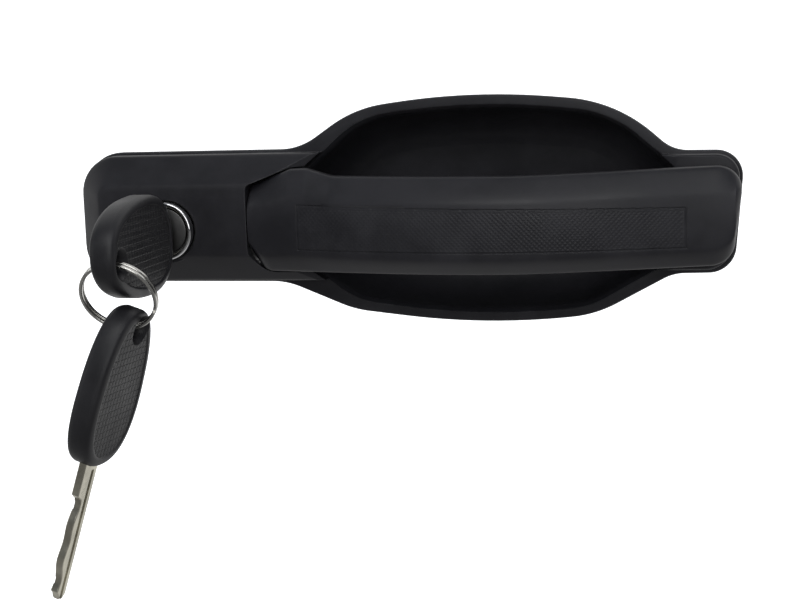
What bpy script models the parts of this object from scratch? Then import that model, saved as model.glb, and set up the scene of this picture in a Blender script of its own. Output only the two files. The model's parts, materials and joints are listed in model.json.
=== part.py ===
"""Car door handle: pull grip hinged in a bowl housing, key lock, bellcrank and keys.

Axes: +X along the handle towards the grip's hinge, +Y into the door, +Z up.
Dimensions are drawn in millimetres from the middle of the housing's opening, in the plane
of its flange, and become metres when a mesh is made. The finished handle is then moved so
that ORIGIN, a point on the gasket's back face at the lock end, is the world's origin.
"""
import math

import bmesh
import bpy
from mathutils import Matrix, Vector

MM = 0.001
GAP = 0.3                      # space left between neighbouring pieces

# ---------------------------------------------------------------- driving dimensions
# Flange outline seen from outside, clockwise: (x, z, corner radius)
FLANGE_CORNERS = [
    (-107.0, 21.4, 13.0), (-33.2, 21.4, 22.0), (-14.5, 33.9, 40.0), (23.0, 38.7, 220.0),
    (68.0, 34.1, 46.0), (85.3, 18.8, 12.0), (107.0, 18.6, 8.0), (103.7, -18.9, 8.5),
    (85.3, -19.2, 14.0), (61.2, -32.2, 38.0), (26.6, -35.8, 240.0), (-16.5, -30.7, 36.0),
    (-39.0, -21.5, 25.0), (-107.0, -21.4, 13.0),
]
BOWL_CORNERS = [
    (-33.0, 13.5, 3.0), (-13.4, 31.0, 30.0), (23.0, 35.8, 215.0), (66.6, 31.0, 36.0),
    (86.0, 14.1, 2.5), (86.0, -14.4, 3.0), (59.8, -29.4, 25.0), (26.6, -32.8, 225.0),
    (-15.6, -27.6, 25.0), (-33.0, -14.0, 3.0),
]
BOSS_CORNERS = [
    (-106.1, 20.5, 12.1), (-8.0, 20.5, 3.0), (-8.0, -20.5, 3.0), (-106.1, -20.5, 12.1),
]
PEDESTAL_CORNERS = [
    (76.0, 17.7, 3.0), (106.1, 17.7, 7.1), (102.3, -17.7, 8.1), (76.0, -17.7, 3.0),
]
GRIP_CORNERS = [
    (-47.0, 10.6, 1.5), (-33.5, 15.8, 2.0), (-28.0, 16.0, 5.0), (-19.0, 13.6, 9.0),
    (40.0, 13.2, 300.0), (107.0, 14.8, 7.5), (103.2, -15.4, 7.5), (40.0, -16.6, 300.0),
    (-42.6, -16.8, 5.0), (-47.0, -11.0, 3.0),
]
WALL = 2.0
FLANGE_THICK = 3.1
FACE_Y = -17.0                 # lock face of the housing, flush with the grip's left end
POCKET_FLOOR_Y = -7.0
PEDESTAL_Y = -7.0
BOWL_DEPTH = 19.0
GASKET_THICK = 1.4
GASKET_INSET = (0.4, 2.1)      # outer and inner edge of the gasket inside the flange outline
ORIGIN = Vector((-107.0 + sum(GASKET_INSET) / 2.0, GAP + GASKET_THICK, 0.0))

GRIP_REAR_Y = -8.7
GRIP_SIDE_Y = -11.4
GRIP_BOW = 12.6                # how far the grip's middle stands out past its ends
GRIP_MID_X = 30.0
GRIP_HALF = 77.0
GRIP_SCREWS = {"rear": -24.0, "front": 84.0}
GRIP_SCREW_Z = -1.5
TONGUE_X = (-45.0, -42.0)
BUMPER_X = -37.5
BUMPERS_Z = {"upper": 8.0, "lower": -10.5}

HINGE = (98.5, -3.0)           # x, y of the grip's hinge pin
PIN_R = 1.6
KNUCKLE_HALF = 4.7

CRANK = (13.0, 13.5)           # y, z of the bellcrank's pivot
CRANK_HUB_X = (-61.6, -51.4)
CHEEKS_X = {"outer": -64.8, "inner": -51.0}
CHEEK_THICK = 2.4
CRANK_ARM = 22.0
CRANK_SWING_DEG = 62.1
ROD_ARM = 16.0
ROD_ARM_DEG = 95.0             # from straight down at rest
CRANK_PIN_R = 1.7

LOCK = (-74.0, -3.0)           # x, z of the lock axis
BARREL_R = 8.25
PLUG_R = 6.5
CAM_Y = 28.2
CAM_ARM = 18.0

STUDS = {"rear": (-97.0, -1.0), "front": (92.0, 11.0)}
STUD_R = 2.5

KEY_SHOULDER_Y = -21.0
HEAD_LENGTH = 50.0
HEAD_HALF_WIDTH = 15.2
HEAD_THICK = 8.2
HEAD_DROP = 2.0                # the head's middle below the blade's
KEY_HOLE = (-43.5, -4.5)       # y, z from the key's shoulder on its axis
BLADE_LENGTH = 46.0
BLADE_WIDTH = 8.4
BLADE_THICK = 2.5
WAFER_COUNT = 5
WAFER_PITCH = 6.2
WAFER_THICK = 0.9

RING_R = 11.4
RING_WIRE = 1.1                # radial and axial size of one turn of the split ring
RING_PITCH = 1.4
RING_HANG = Vector((0.0, 0.45, -0.88)).normalized()
SPARE_RING_DEG = 4.0          # where the spare key sits on the ring, from its lowest point
SPARE_AXIS = Vector((-0.31, 0.0, -0.95)).normalized()
SPARE_TURN_DEG = 5.0


# ---------------------------------------------------------------- small tools
def material(name, color, roughness, metallic=0.0):
    found = bpy.data.materials.get(name)
    if found:
        return found
    mat = bpy.data.materials.new(name)
    mat.use_nodes = True
    shader = mat.node_tree.nodes["Principled BSDF"]
    shader.inputs["Base Color"].default_value = (*color, 1.0)
    shader.inputs["Roughness"].default_value = roughness
    shader.inputs["Metallic"].default_value = metallic
    return mat


def housing_plastic():
    return material("housing_plastic", (0.012, 0.012, 0.013), 0.45)


def grip_plastic():
    return material("grip_plastic", (0.014, 0.014, 0.015), 0.42)


def key_plastic():
    return material("key_plastic", (0.016, 0.016, 0.018), 0.5)


def clip_plastic():
    return material("clip_plastic", (0.55, 0.53, 0.45), 0.5)


def rubber():
    return material("rubber", (0.02, 0.02, 0.02), 0.8)


def zinc():
    return material("zinc", (0.52, 0.52, 0.50), 0.42, 1.0)


def steel():
    return material("steel", (0.58, 0.57, 0.54), 0.3, 1.0)


def chrome():
    return material("chrome", (0.8, 0.8, 0.8), 0.08, 1.0)


def nickel_silver():
    return material("nickel_silver", (0.66, 0.62, 0.52), 0.3, 1.0)


def mesh_object(name, points, faces, mat, origin=(0.0, 0.0, 0.0)):
    """An object whose mesh is given in world millimetres, with its origin at `origin`."""
    base = Vector(origin)
    mesh = bpy.data.meshes.new(name)
    mesh.from_pydata([(Vector(p) - base) * MM for p in points], [], faces)
    bm = bmesh.new()
    bm.from_mesh(mesh)
    bmesh.ops.recalc_face_normals(bm, faces=bm.faces)
    if bm.calc_volume(signed=True) < 0.0:
        bmesh.ops.reverse_faces(bm, faces=bm.faces)
    bm.to_mesh(mesh)
    bm.free()
    if mat:
        mesh.materials.append(mat)
    mesh.shade_smooth()
    mesh.set_sharp_from_angle(angle=math.radians(32.0))
    obj = bpy.data.objects.new(name, mesh)
    obj.location = base * MM
    bpy.context.collection.objects.link(obj)
    return obj


def loft(name, rings, mat, origin=(0.0, 0.0, 0.0)):
    """A closed body through rings of equal point counts, with flat ends."""
    count = len(rings[0])
    points = [p for ring in rings for p in ring]
    faces = [tuple(range(count)), tuple(range(len(points) - count, len(points)))]
    for level in range(len(rings) - 1):
        for i in range(count):
            j = (i + 1) % count
            low = level * count
            high = low + count
            faces.append((low + i, low + j, high + j, high + i))
    return mesh_object(name, points, faces, mat, origin)


def turned(name, profile, start, axis, mat, segments=24, ring=False, origin=(0.0, 0.0, 0.0)):
    """Turn (radius, height) points about an axis; `ring` closes the profile on itself."""
    axis = Vector(axis).normalized()
    side = axis.orthogonal().normalized()
    other = axis.cross(side)
    circles = []
    for radius, height in profile:
        circle = []
        for i in range(segments):
            angle = 2.0 * math.pi * i / segments
            out = side * math.cos(angle) + other * math.sin(angle)
            circle.append(Vector(start) + axis * height + out * radius)
        circles.append(circle)
    if not ring:
        return loft(name, circles, mat, origin)
    points = [p for circle in circles for p in circle]
    faces = []
    for level in range(len(circles)):
        low = level * segments
        high = (level + 1) % len(circles) * segments
        for i in range(segments):
            j = (i + 1) % segments
            faces.append((low + i, low + j, high + j, high + i))
    return mesh_object(name, points, faces, mat, origin)


def rod(name, start, end, radius, mat, segments=16, origin=(0.0, 0.0, 0.0)):
    along = Vector(end) - Vector(start)
    profile = [(radius, 0.0), (radius, along.length)]
    return turned(name, profile, start, along, mat, segments, origin=origin)


def box(name, low, high, mat, origin=(0.0, 0.0, 0.0)):
    rings = []
    for z in (low[2], high[2]):
        rings.append([(low[0], low[1], z), (high[0], low[1], z),
                      (high[0], high[1], z), (low[0], high[1], z)])
    return loft(name, rings, mat, origin)


def helper(obj):
    """Mark an object as a cutter or a shape that is joined into another."""
    obj.hide_render = True
    obj.display_type = "WIRE"
    return obj


def boolean(target, operation, others):
    for other in others:
        helper(other)
        other.parent = target.parent
        step = target.modifiers.new(f"{operation.lower()}_{other.name}", "BOOLEAN")
        step.operation = operation
        step.solver = "EXACT"
        step.object = other
    return target


def cut(target, *others):
    return boolean(target, "DIFFERENCE", others)


def add(target, *others):
    return boolean(target, "UNION", others)


def rounded_outline(corners, inset=0.0, steps=4):
    """Points of a clockwise outline moved inwards by `inset`, with its corners rounded."""
    count = len(corners)
    ways = []
    for i in range(count):
        a = Vector(corners[i][:2])
        b = Vector(corners[(i + 1) % count][:2])
        ways.append((b - a).normalized())
    outline = []
    for i in range(count):
        before = ways[i - 1]
        after = ways[i]
        turn = math.atan2(before.x * after.y - before.y * after.x, before.dot(after))
        normal = Vector((before.y, -before.x))
        shift = normal * inset + before * inset * math.tan(turn / 2.0)
        corner = Vector(corners[i][:2]) + shift
        radius = corners[i][2] - inset if turn < 0.0 else corners[i][2] + inset
        radius = max(radius, 0.4)
        reach = radius * math.tan(abs(turn) / 2.0)
        first = corner - before * reach
        inward = normal if turn < 0.0 else -normal
        centre = first + inward * radius
        for k in range(steps + 1):
            angle = turn * k / steps
            spoke = Vector(first - centre)
            spoke.rotate(Matrix.Rotation(angle, 2))
            outline.append(centre + spoke)
    return outline


def outline_rings(corners, levels, steps=4, x_min=-1000.0, x_max=1000.0):
    """Rings of an outline at (inset, y) levels, flattened to stay between two x values."""
    rings = []
    for inset, y in levels:
        ring = []
        for point in rounded_outline(corners, inset, steps):
            ring.append((min(max(point.x, x_min), x_max), y, point.y))
        rings.append(ring)
    return rings


# ---------------------------------------------------------------- housing
def bowl_levels(outside):
    """(inset, y) down the bowl's wall and over its floor; `outside` adds the wall."""
    inner = [(1.3, 0.0), (2.4, 5.0), (4.0, 10.0), (6.6, 14.5), (9.8, 17.4), (13.5, BOWL_DEPTH)]
    if not outside:
        return [(0.0, -30.0), (0.0, -2.6), (0.35, -2.2)] + inner
    return [(-0.5, -1.5)] + [(inset - WALL * 0.9, y + 0.12 * y) for inset, y in inner]


def slope_cutter(name, start, end):
    """Removes everything outside a sloping line from `start` to `end` in the x-y plane."""
    (xa, ya), (xb, yb) = start, end
    rings = []
    for z in (-45.0, 45.0):
        rings.append([(xa, ya, z), (xb, yb, z), (xb, -60.0, z), (xa, -60.0, z)])
    return loft(name, rings, None)


def make_housing():
    plastic = housing_plastic()
    flange_levels = [(0.0, 0.0), (0.0, -2.3), (0.3, -2.8), (0.9, -FLANGE_THICK)]
    housing = loft("housing", outline_rings(FLANGE_CORNERS, flange_levels), plastic)
    boss = loft("boss_shape", outline_rings(BOSS_CORNERS, [
        (0.0, -1.2), (0.0, -7.2), (0.8, -8.6), (8.2, -15.7), (9.8, -16.6), (13.0, FACE_Y),
    ]), plastic)
    pedestal = loft("pedestal_shape", outline_rings(PEDESTAL_CORNERS, [
        (0.0, -1.1), (0.0, -5.6), (0.5, -6.5), (1.6, PEDESTAL_Y),
    ]), plastic)
    bowl = loft("bowl_shape", outline_rings(BOWL_CORNERS, bowl_levels(True)), plastic)
    add(housing, boss, pedestal, bowl)

    cut(housing,
        loft("boss_hollow", outline_rings(BOSS_CORNERS, [
            (WALL, 6.0), (WALL, -6.4), (2.9, -7.9), (9.4, -14.0), (11.5, -15.0),
        ], x_max=-49.6), None),
        box("pocket_hollow", (-49.7, -5.0, -18.4), (-36.2, 6.0, 18.4), None),
        loft("pedestal_hollow", outline_rings(PEDESTAL_CORNERS, [
            (WALL, 6.0), (WALL, -5.5),
        ], x_min=88.2), None),
        loft("grip_pocket", outline_rings(GRIP_CORNERS, [
            (-0.4, -40.0), (-0.4, POCKET_FLOOR_Y),
        ], x_max=10.0), None),
        loft("bowl_cavity", outline_rings(BOWL_CORNERS, bowl_levels(False)), None),
        slope_cutter("boss_slope", (-52.0, -20.5), (-19.0, -0.7 - FLANGE_THICK)),
        slope_cutter("pedestal_slope", (72.0, -0.7 - FLANGE_THICK), (92.0, -8.0)))

    x, z = LOCK
    tube = rod("lock_tube", (x, -15.6, z), (x, -4.4, z), BARREL_R + 2.4, plastic, 32)
    parts = [tube]
    for name, (stud_x, stud_z) in STUDS.items():
        front = -15.6 if name == "rear" else -5.6
        parts.append(rod(f"stud_boss_{name}", (stud_x, front, stud_z),
                         (stud_x, -GAP, stud_z), STUD_R + 1.5, plastic, 20))
    for name, low_z in (("upper", 5.3), ("lower", -8.3)):
        parts.append(box(f"hinge_ear_{name}", (93.6, -5.6, low_z),
                         (102.6, -0.4, low_z + 3.0), plastic))
    y, z = CRANK
    for name, low_x in CHEEKS_X.items():
        parts.append(box(f"crank_cheek_{name}", (low_x, -8.6, z - 4.0),
                         (low_x + CHEEK_THICK, y + 4.0, 18.7), plastic))
    add(housing, *parts)

    x, z = LOCK
    cut(housing,
        rod("lock_bore", (x, -30.0, z), (x, 10.0, z), BARREL_R + GAP, None, 32),
        rod("lock_spot_face", (x, -30.0, z), (x, -15.6, z), BARREL_R + 1.5, None, 32),
        box("tongue_slot", (-47.3, -12.0, -15.2), (-40.4, 2.0, 3.2), None),
        box("knuckle_slot", (93.2, -12.0, -5.4), (103.7, 4.0, 5.4), None),
        rod("hinge_bore", (*HINGE, -12.0), (*HINGE, 12.0), PIN_R + 0.05, None, 20),
        rod("crank_bore", (-66.0, *CRANK), (-47.0, *CRANK), CRANK_PIN_R + 0.05, None, 20))
    for name, (stud_x, stud_z) in STUDS.items():
        front = -13.0 if name == "rear" else -4.9
        cut(housing, rod(f"stud_bore_{name}", (stud_x, front, stud_z),
                         (stud_x, 10.0, stud_z), STUD_R + 0.05, None, 20))
    for name, z in BUMPERS_Z.items():
        cut(housing, rod(f"bumper_hole_{name}", (BUMPER_X, -12.0, z), (BUMPER_X, -2.0, z),
                         1.8, None, 12))
    return housing


def make_gasket():
    edge, hole = GASKET_INSET
    outer = outline_rings(FLANGE_CORNERS, [(edge, GAP), (edge, GAP + GASKET_THICK)], 3)
    inner = outline_rings(FLANGE_CORNERS, [(hole, -2.0), (hole, 4.0)], 3)
    gasket = loft("gasket", outer, rubber())
    return cut(gasket, loft("gasket_opening", inner, None))


def make_studs():
    for name, (x, z) in STUDS.items():
        front = -12.6 if name == "rear" else -4.6
        rod(f"stud_{name}", (x, front, z), (x, 18.0, z), STUD_R, steel(), 20)
        nut = turned(f"stud_nut_{name}", [(5.9, 2.9), (5.9, 3.6), (4.6, 4.5)], (x, 0.0, z),
                     (0, 1, 0), steel(), 24)
        hexagon = turned(f"nut_hexagon_{name}", [(4.6, 3.9), (4.6, 8.2)], (x, 0.0, z),
                         (0, 1, 0), None, 6)
        add(nut, hexagon)
        cut(nut, rod(f"nut_thread_{name}", (x, 1.0, z), (x, 10.0, z), STUD_R + 0.05, None, 20))


# ---------------------------------------------------------------- grip
def bow(x):
    t = (x - GRIP_MID_X) / GRIP_HALF
    return GRIP_BOW * max(0.0, 1.0 - t * t) ** 1.6


def span(outline, x):
    """Lowest and highest z where a vertical line at x crosses the outline."""
    heights = []
    for a, b in zip(outline, outline[1:] + outline[:1]):
        if (a.x - x) * (b.x - x) <= 0.0 and a.x != b.x:
            heights.append(a.y + (b.y - a.y) * (x - a.x) / (b.x - a.x))
    return min(heights), max(heights)


def grip_section(x, low, high, shrink=0.0, rear=GRIP_REAR_Y):
    """Section of the grip at x: flat back, upright sides, bevels and a crowned face."""
    height = high - low
    full = min(1.0, height / 20.0) ** 0.5
    out = bow(x)
    side = GRIP_SIDE_Y - out
    face = side + (FACE_Y - GRIP_SIDE_Y) * full - 1.2 * full * out / GRIP_BOW
    side += shrink * 0.3
    face += shrink
    top = 0.27 * height
    base = 0.18 * height
    middle = 0.5 * (low + high)
    return [
        (x, rear - out, high), (x, side, high), (x, side - 1.0 * full, high - 0.5 * full),
        (x, face + 1.2 * full, high - 0.8 * top), (x, face + 0.3 * full, high - 1.1 * top),
        (x, face - 0.25 * full, middle),
        (x, face + 0.2 * full, low + 1.15 * base), (x, face + 1.1 * full, low + 0.8 * base),
        (x, side - 1.0 * full, low + 0.5 * full), (x, side, low), (x, rear - out, low),
    ]


def grip_stations(outline):
    """X positions along the grip, closer together where its ends round off."""
    left = min(p.x for p in outline) + 0.01
    right = max(p.x for p in outline) - 0.05
    stations = [-45.5, -43.0, -38.0, -33.5, -28.0, -22.0]
    stations += [-14.0 + 11.0 * i for i in range(11)]
    stations += [99.5, 101.5, 103.0, 104.2, 105.2, 106.0, 106.6]
    inside = [x for x in stations if left + 0.3 < x < right - 0.3]
    return [left] + inside + [right]


def grip_body(name, inset, shrink, rear, mat):
    """Loft of the grip's sections inside its outline moved in by `inset`."""
    outline = rounded_outline(GRIP_CORNERS, inset)
    rings = []
    for x in grip_stations(outline):
        low, high = span(outline, x)
        rings.append(grip_section(x, low, high, shrink, rear))
    return loft(name, rings, mat, (*HINGE, 0.0))


def make_grip_cover():
    cover = grip_body("grip_cover", 0.0, 0.0, GRIP_REAR_Y, grip_plastic())
    hollow = grip_body("grip_hollow", WALL, WALL * 0.9, GRIP_REAR_Y + 8.0, None)
    cut(cover, hollow)
    z = GRIP_SCREW_Z
    for name, x in GRIP_SCREWS.items():
        add(cover, rod(f"screw_boss_{name}", (x, GRIP_SIDE_Y - bow(x) - 0.5, z),
                       (x, FACE_Y - bow(x) + 0.8, z), 3.2, grip_plastic(), 16))
        cut(cover, rod(f"screw_hole_{name}", (x, 0.0, z), (x, FACE_Y - bow(x) + 1.8, z),
                       1.3, None, 12))
    return cover


def make_grip_back():
    """Rear shell of the grip with the hinge knuckle and the tongue that works the crank."""
    plastic = grip_plastic()
    outline = rounded_outline(GRIP_CORNERS, WALL + GAP)
    rings = []
    for x in grip_stations(outline):
        low, high = span(outline, x)
        out = bow(x)
        front = GRIP_REAR_Y - out - 1.9
        rear = GRIP_REAR_Y - out
        ease = min(1.4, 0.3 * (high - low))
        rings.append([
            (x, front, high), (x, rear - 0.5, high), (x, rear, high - ease),
            (x, rear, low + ease), (x, rear - 0.5, low), (x, front, low),
        ])
    back = loft("grip_back", rings, plastic, (*HINGE, 0.0))
    hinge_x, hinge_y = HINGE
    half = KNUCKLE_HALF
    knuckle = rod("knuckle_shape", (*HINGE, -half), (*HINGE, half), 4.3, plastic, 24)
    web = box("knuckle_web", (hinge_x - 3.4, GRIP_REAR_Y - 1.4, -half),
              (hinge_x + 3.6, hinge_y, half), plastic)
    window_y = CRANK[0] + CRANK_ARM * math.sin(math.radians(CRANK_SWING_DEG / 2.0))
    tongue = box("tongue_shape", (TONGUE_X[0], GRIP_REAR_Y + GAP, -13.6),
                 (TONGUE_X[1], window_y + 7.0, 2.2), plastic)
    root = box("tongue_root", (TONGUE_X[0] + 0.8, GRIP_REAR_Y - 1.5, -9.0),
               (TONGUE_X[1] + 0.8, 5.0, 1.6), plastic)
    add(back, knuckle, web, tongue, root)
    window_z = CRANK[1] - CRANK_ARM
    cut(back,
        box("finger_window", (-50.0, window_y - 3.6, window_z - 2.6),
            (-38.0, window_y + 3.6, window_z + 6.0), None),
        rod("knuckle_bore", (*HINGE, -8.0), (*HINGE, 8.0), 2.8, None, 20))
    z = GRIP_SCREW_Z
    for name, x in GRIP_SCREWS.items():
        cut(back,
            rod(f"screw_clearance_{name}", (x, GRIP_REAR_Y - bow(x) - 4.0, z), (x, 4.0, z),
                1.9, None, 16),
            rod(f"screw_sink_{name}", (x, GRIP_REAR_Y - bow(x) - 0.9, z), (x, 4.0, z),
                3.3, None, 16))
    return back


def make_grip_screws():
    z = GRIP_SCREW_Z
    arm = 1.8
    half = 0.35
    for name, x in GRIP_SCREWS.items():
        seat = GRIP_REAR_Y - bow(x) - 0.6
        profile = [(1.0, -5.4), (1.0, 0.0), (2.9, 0.0), (2.9, 0.6), (2.2, 1.1)]
        screw = turned(f"grip_screw_{name}", profile, (x, seat, z), (0, 1, 0), steel(), 16,
                       origin=(*HINGE, 0.0))
        for way, wide, high in (("upright", half, arm), ("level", arm, half)):
            cut(screw, box(f"driver_slot_{name}_{way}", (x - wide, seat + 0.5, z - high),
                           (x + wide, seat + 3.0, z + high), None))


def make_grip_hinge():
    profile = [(PIN_R, -8.9), (PIN_R, 8.6), (2.2, 8.6), (2.2, 9.4), (1.7, 9.9)]
    turned("grip_hinge_pin", profile, (*HINGE, 0.0), (0, 0, 1), steel(), 20,
           origin=(*HINGE, 0.0))
    inner = PIN_R + 0.1
    for name, way in (("upper", 1.0), ("lower", -1.0)):
        loop = [(inner, 0.6), (2.65, 0.6), (2.65, 4.8), (3.6, 4.8), (3.6, 5.15), (inner, 5.15)]
        turned(f"hinge_bush_{name}", loop, (*HINGE, 0.0), (0, 0, way), clip_plastic(), 20,
               ring=True, origin=(*HINGE, 0.0))


def make_bumpers():
    for name, z in BUMPERS_Z.items():
        profile = [(1.4, 0.0), (1.4, 2.6), (2.9, 2.6), (2.9, 3.2), (2.3, 3.6)]
        turned(f"grip_bumper_{name}", profile, (BUMPER_X, -4.7, z), (0, -1, 0), rubber(), 16)


# ---------------------------------------------------------------- bellcrank
def crank_point(reach, angle_deg):
    """(y, z) at a distance from the bellcrank's pivot; 0 degrees is straight down."""
    angle = math.radians(angle_deg)
    return CRANK[0] + reach * math.sin(angle), CRANK[1] - reach * math.cos(angle)


def arm_plate(name, low_x, high_x, tip, root_r, tip_r, mat):
    """Plate from the pivot to a (y, z) tip, rounded at both ends."""
    root = Vector(CRANK)
    way = (Vector(tip) - root).normalized()
    heading = math.atan2(way.y, way.x)
    ring = []
    for centre, radius, start in ((Vector(tip), tip_r, -90.0), (root, root_r, 90.0)):
        for k in range(9):
            angle = heading + math.radians(start + 22.5 * k)
            ring.append(centre + Vector((math.cos(angle), math.sin(angle))) * radius)
    rings = [[(x, p.x, p.y) for p in ring] for x in (low_x, high_x)]
    return loft(name, rings, mat, (0.0, *CRANK))


def make_bellcrank():
    half = CRANK_SWING_DEG / 2.0
    finger = crank_point(CRANK_ARM, half)
    eye = crank_point(ROD_ARM, ROD_ARM_DEG)
    metal = zinc()
    low_x, high_x = CRANK_HUB_X
    crank = rod("bellcrank", (low_x, *CRANK), (high_x, *CRANK), 3.7, metal, 24,
                origin=(0.0, *CRANK))
    add(crank,
        arm_plate("finger_arm", high_x - 3.2, high_x - 0.6, finger, 4.2, 3.2, metal),
        arm_plate("rod_arm", low_x + 0.1, low_x + 2.3, eye, 4.2, 3.4, metal),
        rod("finger_shape", (high_x - 2.6, *finger), (-39.6, *finger), 2.0, metal, 20))
    cut(crank,
        rod("crank_pin_bore", (-70.0, *CRANK), (-40.0, *CRANK), CRANK_PIN_R + 0.08, None, 20),
        rod("rod_eye", (-70.0, *eye), (-58.0, *eye), 1.9, None, 16))
    clip_x = low_x + 0.1 - GAP
    clip = box("latch_rod_clip", (clip_x - 3.2, eye[0] - 3.4, eye[1] - 3.5),
               (clip_x, eye[0] + 3.4, eye[1] + 3.5), clip_plastic(), (0.0, *eye))
    add(clip,
        rod("latch_clip_stub", (clip_x - 1.0, *eye), (-58.6, *eye), 1.6, clip_plastic(), 16),
        rod("latch_clip_head", (-59.0, *eye), (-58.1, *eye), 2.2, clip_plastic(), 16))
    cut(clip,
        rod("latch_rod_hole", (clip_x - 2.0, eye[0], -20.0), (clip_x - 2.0, eye[0], 40.0),
            1.1, None, 12),
        box("latch_rod_mouth", (clip_x - 9.0, eye[0] - 0.9, -20.0),
            (clip_x - 2.0, eye[0] + 0.9, 40.0), None))
    profile = [(2.9, 0.0), (2.9, 0.9), (CRANK_PIN_R, 0.9), (CRANK_PIN_R, 17.9), (1.25, 17.9),
               (1.25, 18.8), (CRANK_PIN_R, 18.8), (CRANK_PIN_R, 19.5)]
    turned("bellcrank_pin", profile, (-47.1, *CRANK), (-1, 0, 0), steel(), 20)
    e_clip("bellcrank_pin_clip", (-65.1, *CRANK), (-1, 0, 0), 1.35, 3.2, 0.6)


def e_clip(name, start, axis, inner, outer, thick, opening=(0.0, 0.0, -1.0)):
    """Retaining clip: a thin ring with a gap on one side."""
    loop = [(inner, 0.0), (outer, 0.0), (outer, thick), (inner, thick)]
    clip = turned(name, loop, start, axis, steel(), 20, ring=True)
    base = Vector(start)
    way = Vector(opening)
    axis = Vector(axis)
    across = axis.cross(way)
    near = base - axis * 2.0 - across * inner * 0.8
    far = base + axis * 4.0 + across * inner * 0.8 + way * outer * 2.0
    low = [min(near[i], far[i]) for i in range(3)]
    high = [max(near[i], far[i]) for i in range(3)]
    return cut(clip, box(f"{name}_gap", low, high, None))


def wire(name, path, radius, mat, sides=6, origin=(0.0, 0.0, 0.0)):
    """Round wire along a list of points."""
    rings = []
    up = None
    for i, point in enumerate(path):
        ahead = Vector(path[min(i + 1, len(path) - 1)])
        behind = Vector(path[max(i - 1, 0)])
        way = (ahead - behind).normalized()
        up = way.orthogonal() if up is None else up - way * up.dot(way)
        up.normalize()
        across = way.cross(up)
        ring = []
        for k in range(sides):
            angle = 2.0 * math.pi * k / sides
            ring.append(Vector(point) + (up * math.cos(angle) + across * math.sin(angle)) * radius)
        rings.append(ring)
    return loft(name, rings, mat, origin)


def make_bellcrank_spring():
    """Torsion spring on the hub: one leg on the housing wall, one along the finger arm."""
    y, z = CRANK
    radius = 4.75
    turns = 3.25
    steps = 44
    path = [(-58.7, y - 12.2, z + radius)]
    for i in range(steps + 1):
        angle = math.radians(90.0 - 360.0 * turns * i / steps)
        x = -58.7 + 3.5 * i / steps
        path.append((x, y + radius * math.cos(angle), z + radius * math.sin(angle)))
    last = Vector(path[-1])
    way = last - Vector(path[-2])
    way.x = 0.0
    path.append(last + way.normalized() * 7.0)
    wire("bellcrank_spring", path, 0.45, steel())


# ---------------------------------------------------------------- lock
def make_lock_barrel():
    x, z = LOCK
    start = (x, 0.0, z)
    loop = [(7.6, -19.1), (BARREL_R, -19.1), (BARREL_R, 25.4), (PLUG_R + 0.15, 25.4),
            (PLUG_R + 0.15, -17.5), (7.6, -17.5)]
    barrel = turned("lock_barrel", loop, start, (0, 1, 0), zinc(), 32, ring=True)
    for name, way in (("left", -1.0), ("right", 1.0)):
        near = x + way * 7.4
        far = x + way * 12.0
        cut(barrel, box(f"clip_groove_{name}", (min(near, far), -4.1, z - 10.0),
                        (max(near, far), -2.5, z + 10.0), None))
    return barrel


def make_lock_trim():
    x, z = LOCK
    start = (x, 0.0, z)
    bezel = [(BARREL_R + GAP, -16.6), (9.4, -16.6), (9.4, -19.2), (8.9, -20.0), (7.9, -20.0),
             (7.9, -19.4), (BARREL_R + GAP, -19.4)]
    turned("lock_bezel", bezel, start, (0, 1, 0), chrome(), 40, ring=True)
    seal = [(BARREL_R + 0.3, -16.3), (9.5, -16.3), (9.5, -15.75), (BARREL_R + 0.3, -15.75)]
    turned("lock_seal", seal, start, (0, 1, 0), rubber(), 32, ring=True)
    clip = box("lock_retaining_clip", (x - 10.6, -3.9, z - 9.5), (x + 10.6, -2.8, z + 12.1),
               steel())
    cut(clip, box("clip_mouth", (x - 7.6, -8.0, z - 12.0), (x + 7.6, 4.0, z + 9.0), None))


def wafer_places():
    """Y of each wafer's front face."""
    return [-9.5 + WAFER_PITCH * i for i in range(WAFER_COUNT)]


def make_lock_plug():
    x, z = LOCK
    profile = [(7.3, -19.2), (7.3, -17.7), (PLUG_R, -17.7), (PLUG_R, 27.2), (2.4, 27.2),
               (2.4, 32.3), (3.0, 32.3), (3.0, 33.3)]
    plug = turned("lock_plug", profile, (x, 0.0, z), (0, 1, 0), zinc(), 32, origin=(x, 0.0, z))
    add(plug, box("tail_square", (x - 3.0, 26.0, z - 3.0), (x + 3.0, 31.1, z + 3.0), None))
    slot = box("key_slot", (x - 1.5, -30.0, z - 4.6), (x + 1.5, 25.8, z + 4.6), None)
    cut(plug, slot)
    for i, y in enumerate(wafer_places(), 1):
        cut(plug, box(f"wafer_slot_{i}", (x - 2.8, y - GAP, z - 8.0),
                      (x + 2.8, y + WAFER_THICK + GAP, z + 8.0), None))
        wafer = box(f"lock_wafer_{i}", (x - 2.5, y, z - 5.5), (x + 2.5, y + WAFER_THICK, z + 5.5),
                    nickel_silver(), (x, 0.0, z))
        cut(wafer, box(f"wafer_window_{i}", (x - 1.55, y - 2.0, z - 4.5),
                       (x + 1.55, y + 3.0, z + 4.5), None))
    return plug


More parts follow.
